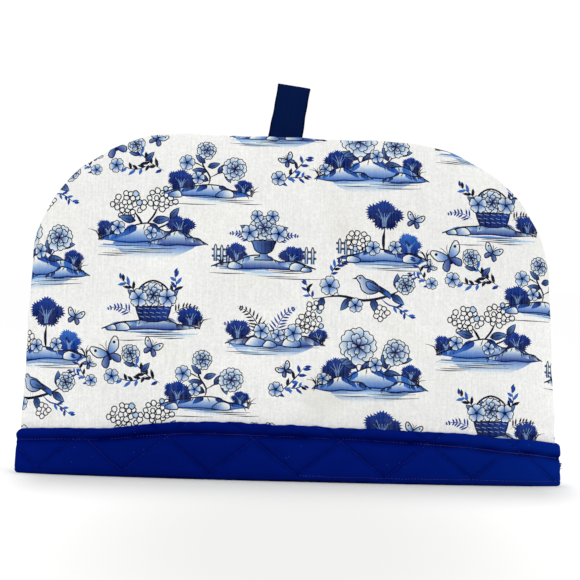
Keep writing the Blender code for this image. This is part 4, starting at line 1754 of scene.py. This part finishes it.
def row_height(rule, share):
    """Height of a row at each station."""
    if not isinstance(rule, tuple):
        return np.full(np.shape(share), float(rule))
    kind, value = rule
    top = band_top(share)
    if kind == "top":
        return top - value
    upper = top - QUILT_BELOW_EDGE
    return upper + (QUILT_FOOT - upper) * value


# %% A point on the band
def band_surface(run, z, side_name, offset=2.75, quilt=1.0, face="outer"):
    """Points of the band, in mm."""
    side = SIDES[side_name]
    share = share_at(run, side_name)
    if face == "outer":
        end_tuck = 1.3 * bell(run + SIDE_RUN / 2 - 9.0, 1.6) * np.clip(1 - z / 12.0, 0, 1)
        offset = offset + quilt * quilting(run, z, side_name) - quilt * end_tuck
        inset, drop = -SIDE_EASE * offset, -offset
    else:
        inset, drop = SEAM_MARGIN + INNER_SIDE_EASE * offset, WALL + offset
    x = share * half_width(z, inset)
    depth = wall_depth(x, z, side, inset, drop) + GAP / 2
    depth = np.where(np.abs(share) < 1 - 1e-9, depth, 0.0)
    return settled(np.stack([x, side * depth, z], -1))


# %% Make the band
BAKE_PART = 205.0


def quilted_band(name):
    """The ring of quilted cloth round the hem."""
    rows = section_rows()
    stations = int(round(SIDE_RUN / STATION))
    runs = np.linspace(-SIDE_RUN / 2, SIDE_RUN / 2, stations + 1)[:-1]
    rings, groove_shade = [], []
    for side_name in ("front", "back"):
        share = share_at(runs, side_name)
        sections = []
        for face, offset, rule, quilt in rows:
            z = row_height(rule, share)
            sections.append(band_surface(runs, z, side_name, offset, quilt, face))
            groove_shade.append(painted_groove_shade(runs, z, side_name) * (quilt > 0.5))
        rings.append(np.stack(sections, 1))
    points = np.concatenate(rings)
    count, size = points.shape[:2]
    index = np.arange(count * size).reshape(count, size)
    after = np.roll(index, -1, 0)
    below = np.roll(index, -1, 1)
    faces = np.stack([index, below, np.roll(after, -1, 1), after], -1).reshape(-1, 4)
    flat = points.reshape(-1, 3)
    piece = new_piece(name, flat, faces.tolist(), quilted)
    # The painted shade of the stitched grooves goes on the band as a colour attribute.
    depth = np.array(groove_shade).reshape(2, size, stations).transpose(0, 2, 1).ravel()
    add_colours(piece.data, "painted_groove_shade", "POINT", np.repeat(np.clip(depth, 0, 1), 4))
    lengths = np.linalg.norm(np.diff(np.concatenate([points[0], points[0][:1]]), axis=0), axis=1)
    round_section = np.concatenate([[0], np.cumsum(lengths)])
    i, j = np.meshgrid(np.arange(count), np.arange(size), indexing="ij")
    corners = []
    for di, dj in ((0, 0), (0, 1), (1, 1), (1, 0)):
        corners.append(np.stack([(i + di) * STATION, round_section[j + dj]], -1))
    cloth = np.stack(corners, 2).reshape(-1, 2)
    add_map(piece.data, "cloth", cloth * MM)
    part = np.repeat(np.minimum(i.reshape(-1) * STATION // BAKE_PART, 3), 4)
    bake_across = (cloth[:, 0] - part * BAKE_PART) / (BAKE_PART + 10.0)
    bake_up = 0.24 * part + cloth[:, 1] / 420.0
    add_map(piece.data, "OFBake", np.stack([bake_across, bake_up], 1) + 0.01)
    return piece


hem_quilt = quilted_band("hem_quilt")

# %% [markdown]
# ## Stitches
# A stitch is a short piece of thread that comes up through the cloth, lies on it and goes down again.
# Each is a small bent tube with pointed ends. All the stitches of a row are made at once with arrays:
# one row follows the band's folded edge, one faint row runs near the floor, and the rest follow the
# slanted quilting lines.

# %% Thread tubes
def thread_tubes(centres, normals, radius, sides=6):
    """Tubes round rows of centre points, closed at their ends. Arrays are (tube, ring, 3)."""
    tangent = unit(np.gradient(centres, axis=1))
    across = unit(np.cross(tangent, normals))
    up = np.cross(across, tangent)
    turn = np.linspace(0, 2 * math.pi, sides, endpoint=False)
    rings = centres.shape[1]
    taper = np.sin(np.linspace(0.12, math.pi - 0.12, rings)) ** 0.45 * radius
    circle = np.cos(turn)[:, None] * across[:, :, None] + np.sin(turn)[:, None] * up[:, :, None]
    points = centres[:, :, None] + circle * taper[None, :, None, None]
    tubes = len(centres)
    index = np.arange(tubes * rings * sides).reshape(tubes, rings, sides)
    around = np.roll(index, -1, 2)
    body = np.stack([index[:, :-1], index[:, 1:], around[:, 1:], around[:, :-1]], -1).reshape(-1, 4)
    first = index[:, 0].reshape(tubes, sides)
    last = index[:, -1, ::-1].reshape(tubes, sides)
    return points.reshape(-1, 3), body.tolist() + first.tolist() + last.tolist()


def surface_and_normal(run, z, side_name):
    """Points on the band's outer face and its outward normals."""
    here = band_surface(run, z, side_name)
    step = 0.3
    across = band_surface(run + step, z, side_name) - band_surface(run - step, z, side_name)
    up = band_surface(run, z + step, side_name) - band_surface(run, z - step, side_name)
    normal = np.cross(across, up)
    if normal[..., 1].mean() * SIDES[side_name] < 0:
        normal = -normal
    return here, unit(normal)


# %% Stitches along a path
ROW_REACH = SIDE_RUN / 2 - 3.0
HEM_ROW_STARTS = {"front": 8.0, "back": -60.0}
BAND_END = (192.4, 13.5)


def stitch_row(path, side_name, gap, seed):
    """Centres and normals of stitches along a path of (run, height) points, a little uneven."""
    hand = np.random.default_rng(seed)
    starts = np.arange(0, distances(path)[-1] - 2.5, STITCH)
    starts = starts + hand.uniform(-0.1, 0.1, len(starts))
    share = np.linspace(0, 1, 6)
    spots = points_along(path, starts[:, None] + (STITCH - gap) * share)
    here, normal = surface_and_normal(spots[..., 0], spots[..., 1], side_name)
    lift = 0.16 - 0.42 * (2 * share - 1) ** 4
    return here + normal * lift[None, :, None], normal


# %% Rows on the band
def top_rows():
    """The mauve row along the folded edge and the faint row near the floor."""
    rows = []
    for seed, side_name in enumerate(("front", "back")):
        runs = np.linspace(-ROW_REACH, ROW_REACH, 500)
        path = np.stack([runs, stitch_height(share_at(runs, side_name))], 1)
        rows.append(stitch_row(path, side_name, 0.4, 31 + seed))
        low = runs[runs > HEM_ROW_STARTS[side_name]]
        path = np.stack([low, np.full(len(low), HEM_ROW_HEIGHT)], 1)
        rows.append(stitch_row(path, side_name, 1.0, 41 + seed))
    return rows


def slanted_rows():
    """The blue rows that quilt the band in slanted lines."""
    rows = []
    for side_name in ("front", "back"):
        for way in (-1, 1):
            for crossing in range(-5, 6):
                z = np.linspace(4.6, 36.0, 44)
                run = CROSSINGS[side_name] + LINE_PITCH * crossing
                run = run - way * LINE_SLANT * (z - LINES_CROSS_AT)
                shows = (np.abs(run) < ROW_REACH) & (z < band_top(share_at(run, side_name)) - 1.5)
                if shows.sum() > 12:
                    line = np.stack([run, z], 1)[shows]
                    rows.append(stitch_row(line, side_name, 0.5, 50 + crossing + 20 * way))
    return rows


# %% Sew the stitches and fray the end
def sewn(name, rows, radius, material):
    """One piece from rows of stitches."""
    centres = np.concatenate([row[0] for row in rows])
    normals = np.concatenate([row[1] for row in rows])
    points, faces = thread_tubes(centres, normals, radius)
    piece = new_piece(name, points, faces, material)
    starts = points[[face[0] for face in faces]][:, [0, 2]]
    add_map(piece.data, "cloth", np.repeat(starts, [len(face) for face in faces], 0) * MM)
    print(name, "-", len(centres), "stitches")
    return piece


def loose_threads(x, z, count, seed):
    """Short frayed threads that curl out of the band's end seam."""
    hand = np.random.default_rng(seed)
    t = np.linspace(0, 1, 6)[:, None]
    rows = []
    for _ in range(count):
        start = np.array([x, hand.uniform(-0.8, 0.8), z + hand.uniform(-2.2, 2.2)])
        way = np.array([hand.uniform(0.5, 1.0), hand.uniform(-0.5, 0.5), hand.uniform(-0.9, 0.9)])
        curl = np.array([0.0, hand.uniform(-0.8, 0.8), hand.uniform(-1.2, 1.2)])
        centre = start + way * hand.uniform(1.4, 2.6) * t + curl * t**2
        rows.append((centre[None], np.broadcast_to([0.1, -0.99, 0.1], (1, 6, 3))))
    return rows


band_thread = sewn("band_thread", top_rows(), 0.17, mauve_thread)
quilting_thread = sewn("quilting_thread", slanted_rows(), 0.14, blue_thread)
frayed_threads = sewn("frayed_threads", loose_threads(*BAND_END, 12, 5), 0.24, blue_thread)

# %% [markdown]
# ## The ribbon loop
# The loop is one length of ribbon, folded in half with both ends in the seam. It leans a little to
# the right. Its fold at the top is almost sharp. The ribbon has fine ribs across it and two firm
# woven edges.

# %% Ribbon sizes and centre line
RIBBON_WIDTH = 23.0
RIBBON_THICKNESS = 1.0
LOOP_LENGTH = 37.0
LOOP_BELLY = 4.3
LOOP_LEAN = math.radians(9.2)
TAIL_LENGTH = 8.5
LOOP_OPENS_AT = 2.2
TOP_TURN = math.radians(3.0)
RIB_HEIGHT = 0.045
RIB_PITCH = 1.15


def loop_line(steps):
    """Side view of the ribbon: depth and height above the seam, from the front end to the back."""
    tail = GAP / 2 + RIBBON_THICKNESS / 2
    turn = np.linspace(0, 2 * math.pi, 4001)
    height = LOOP_OPENS_AT + (LOOP_LENGTH - LOOP_OPENS_AT) * (1 - np.cos(turn)) / 2
    belly = LOOP_BELLY * np.sin(turn) * np.abs(np.sin(turn / 2))
    closing = np.where(turn < math.pi, 1, -1) * tail * (1 + np.cos(turn)) / 2
    line = np.stack([-belly - closing, height], 1)
    line = np.vstack([[(-tail, -TAIL_LENGTH), (-tail, 0)], line, [(tail, 0), (tail, -TAIL_LENGTH)]])
    length = float(distances(line)[-1])
    return points_along(line, np.linspace(0, length, steps)), length


# %% Make the ribbon
def ribbon_strip(name):
    """A ribbed strip that follows the centre line."""
    centre, length = loop_line(320)
    run = np.linspace(0, length, len(centre))
    tangent = unit(np.gradient(centre, axis=0))
    normal = np.stack([-tangent[:, 1], tangent[:, 0]], 1)
    cross = np.linspace(-1, 1, 25)
    edge_bead = 0.10 * bell(1 - np.abs(cross), 0.05)
    half = RIBBON_THICKNESS / 2 * np.sqrt(np.maximum(1 - np.abs(cross) ** 14, 0.12)) - 0.12 + edge_bead
    ribs = RIB_HEIGHT * np.sin(run * 2 * math.pi / RIB_PITCH)
    wave = 0.28 * np.sin(run / 9.0 + 0.5)[:, None] * np.abs(cross) ** 2 * np.sign(cross)
    woven_waver = 0.16 * np.sin(run / 6.1) + 0.1 * np.sin(run / 2.3)
    rows = []
    for way in (1, -1):
        order = cross if way > 0 else cross[::-1]
        thick = (half if way > 0 else half[::-1])[None, :] + ribs[:, None] * (np.abs(order) < 0.9)
        shift = wave if way > 0 else wave[:, ::-1]
        offset = way * thick + shift
        depth = centre[:, :1] + normal[:, :1] * offset
        height = centre[:, 1:] + normal[:, 1:] * offset
        edge = order * RIBBON_WIDTH / 2 + woven_waver[:, None] * np.sign(order) * np.abs(order) ** 6
        climb = np.clip(height / LOOP_LENGTH, 0, 1)
        edge = edge * (1.04 - 0.04 * climb)
        x = RIBBON_X + height * math.sin(LOOP_LEAN) + edge * math.cos(LOOP_LEAN)
        z = TOP + height * math.cos(LOOP_LEAN) - edge * np.sin(LOOP_LEAN - TOP_TURN * climb)
        rows.append(settled(np.stack([x, depth, z], -1)))
    points = np.concatenate(rows, 1)
    count, size = points.shape[:2]
    index = np.arange(count * size).reshape(count, size)
    around = np.roll(index, -1, 1)
    faces = np.stack([index[:-1], around[:-1], around[1:], index[1:]], -1).reshape(-1, 4).tolist()
    faces += [index[0, ::-1].tolist(), index[-1].tolist()]
    piece = new_piece(name, points.reshape(-1, 3), faces, ribbon_cloth)
    width = (np.concatenate([cross, cross[::-1]]) + 1) * RIBBON_WIDTH / 2
    corners = np.array([c for face in faces for c in face])
    spread = np.stack([width[corners % size], run[corners // size]], 1)
    add_map(piece.data, "cloth", spread * MM)
    under = (corners % size) >= len(cross)
    bake = np.stack([0.02 + spread[:, 0] / 60 + 0.45 * under, 0.02 + spread[:, 1] / 100], 1)
    add_map(piece.data, "OFBake", bake)
    return piece, length


hanging_ribbon, ribbon_length = ribbon_strip("folded_ribbon")
print("ribbon length before it is folded:", round(ribbon_length, 1), "mm")

# %% [markdown]
# ## Handing the pieces to the frame
# Each piece rides on the one body of the part and stands for its solid. The walls and the band are
# padded, and the ribbon is a sheet folded once.

# %% Riding and standing in
pieces = (front_print, back_print, hem_quilt, band_thread, quilting_thread, frayed_threads, hanging_ribbon)
for piece in pieces:
    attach(piece, "root")
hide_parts("front_panel")
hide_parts("back_panel")
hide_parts("hem_band")
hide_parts("ribbon_loop")
print("pieces:", [piece.name for piece in pieces])

# %% [markdown]
# ## Floor and light
# The picture is bright and nearly without shadows: a white surface, burnt out to pure white, with a
# soft grey just in front of the hem. A white world lights everything evenly. One soft lamp stands
# above and in front, and a weaker one above and behind brightens the floor there. The soft grey round
# the hem is a painted shadow in the floor's own paint, as an oval and a darker strip that fade outwards.

# %% Floor
BURNT_OUT = (0.97, 0.97, 0.97, 1)
# Painted shadow greys for the floor round the hem.
PAINTED_SHADOW_GREY = (0.735, 0.735, 0.727, 1)
PAINTED_HEM_SHADOW_GREY = (0.665, 0.665, 0.66, 1)
floor_mesh = bpy.data.meshes.new("floor")
floor_mesh.from_pydata([(-12, -12, 0), (12, -12, 0), (12, 12, 0), (-12, 12, 0)], [], [(0, 1, 2, 3)])
floor = bpy.data.objects.new("floor", floor_mesh)
bpy.context.scene.collection.objects.link(floor)
floor_paint = bpy.data.materials.new("floor_paint")
floor_paint.use_nodes = True
floor_tree = floor_paint.node_tree
floor_shader = floor_tree.nodes["Principled BSDF"]
floor_shader.inputs["Roughness"].default_value = 0.9
floor_shader.inputs["Specular IOR Level"].default_value = 0.0
floor_x, floor_y, _ = split(floor_tree, add_node(floor_tree, "ShaderNodeTexCoord").outputs["Object"])
from_middle = math_node(floor_tree, "ABSOLUTE", floor_y)
both_sides = add_node(floor_tree, "ShaderNodeCombineXYZ")
feed(floor_tree, both_sides.inputs, (floor_x, from_middle))
# A painted shadow: an oval of soft grey round the cosy that fades outwards.
oval = add_node(floor_tree, "ShaderNodeVectorMath", operation="LENGTH")
oval_map = moved_map(floor_tree, both_sides.outputs[0], (3.9, 0.62, 1.0), (-0.03, -0.42, 0.0))
feed(floor_tree, oval.inputs, (oval_map,))
fade = ranged(floor_tree, oval.outputs["Value"], 0.15, 1.0, kind="SMOOTHSTEP")
floor_tone = mix_colours(floor_tree, fade, PAINTED_SHADOW_GREY, BURNT_OUT)
# A darker painted shadow in a strip just in front of and behind the hem.
off_middle = math_node(floor_tree, "ABSOLUTE", math_node(floor_tree, "SUBTRACT", floor_x, 0.004))
beside = ranged(floor_tree, off_middle, 0.165, 0.212, 1.0, 0.0, "SMOOTHSTEP")
shadow_in_front = ranged(floor_tree, from_middle, 0.04, 0.40, 1.0, 0.0, "SMOOTHSTEP")
floor_tone = mix_colours(floor_tree, times(floor_tree, beside, shadow_in_front), floor_tone, PAINTED_HEM_SHADOW_GREY)
floor_tree.links.new(floor_tone, floor_shader.inputs["Base Color"])
floor_mesh.materials.append(floor_paint)

# %% Light
world = bpy.data.worlds.new("studio")
bpy.context.scene.world = world
world.use_nodes = True
world.node_tree.nodes["Background"].inputs["Color"].default_value = (1.0, 1.0, 1.0, 1)
world.node_tree.nodes["Background"].inputs["Strength"].default_value = 1.02


def soft_lamp(name, place, target, size, power):
    """A large square white lamp that faces its target."""
    data = bpy.data.lights.new(name, "AREA")
    data.size = size
    data.energy = power
    lamp = bpy.data.objects.new(name, data)
    bpy.context.scene.collection.objects.link(lamp)
    lamp.location = place
    lamp.rotation_euler = (Vector(target) - Vector(place)).to_track_quat("-Z", "Y").to_euler()


soft_lamp("key", (0.7, -1.1, 2.3), (0, 0, 0.1), 0.8, 10.0)
soft_lamp("behind", (-0.2, 1.3, 1.9), (0, -0.1, 0), 0.7, 5.0)
print("lamps:", [lamp.name for lamp in bpy.data.lights])
bpy.context.scene.view_settings.view_transform = "Standard"
bpy.context.scene.view_settings.look = "None"
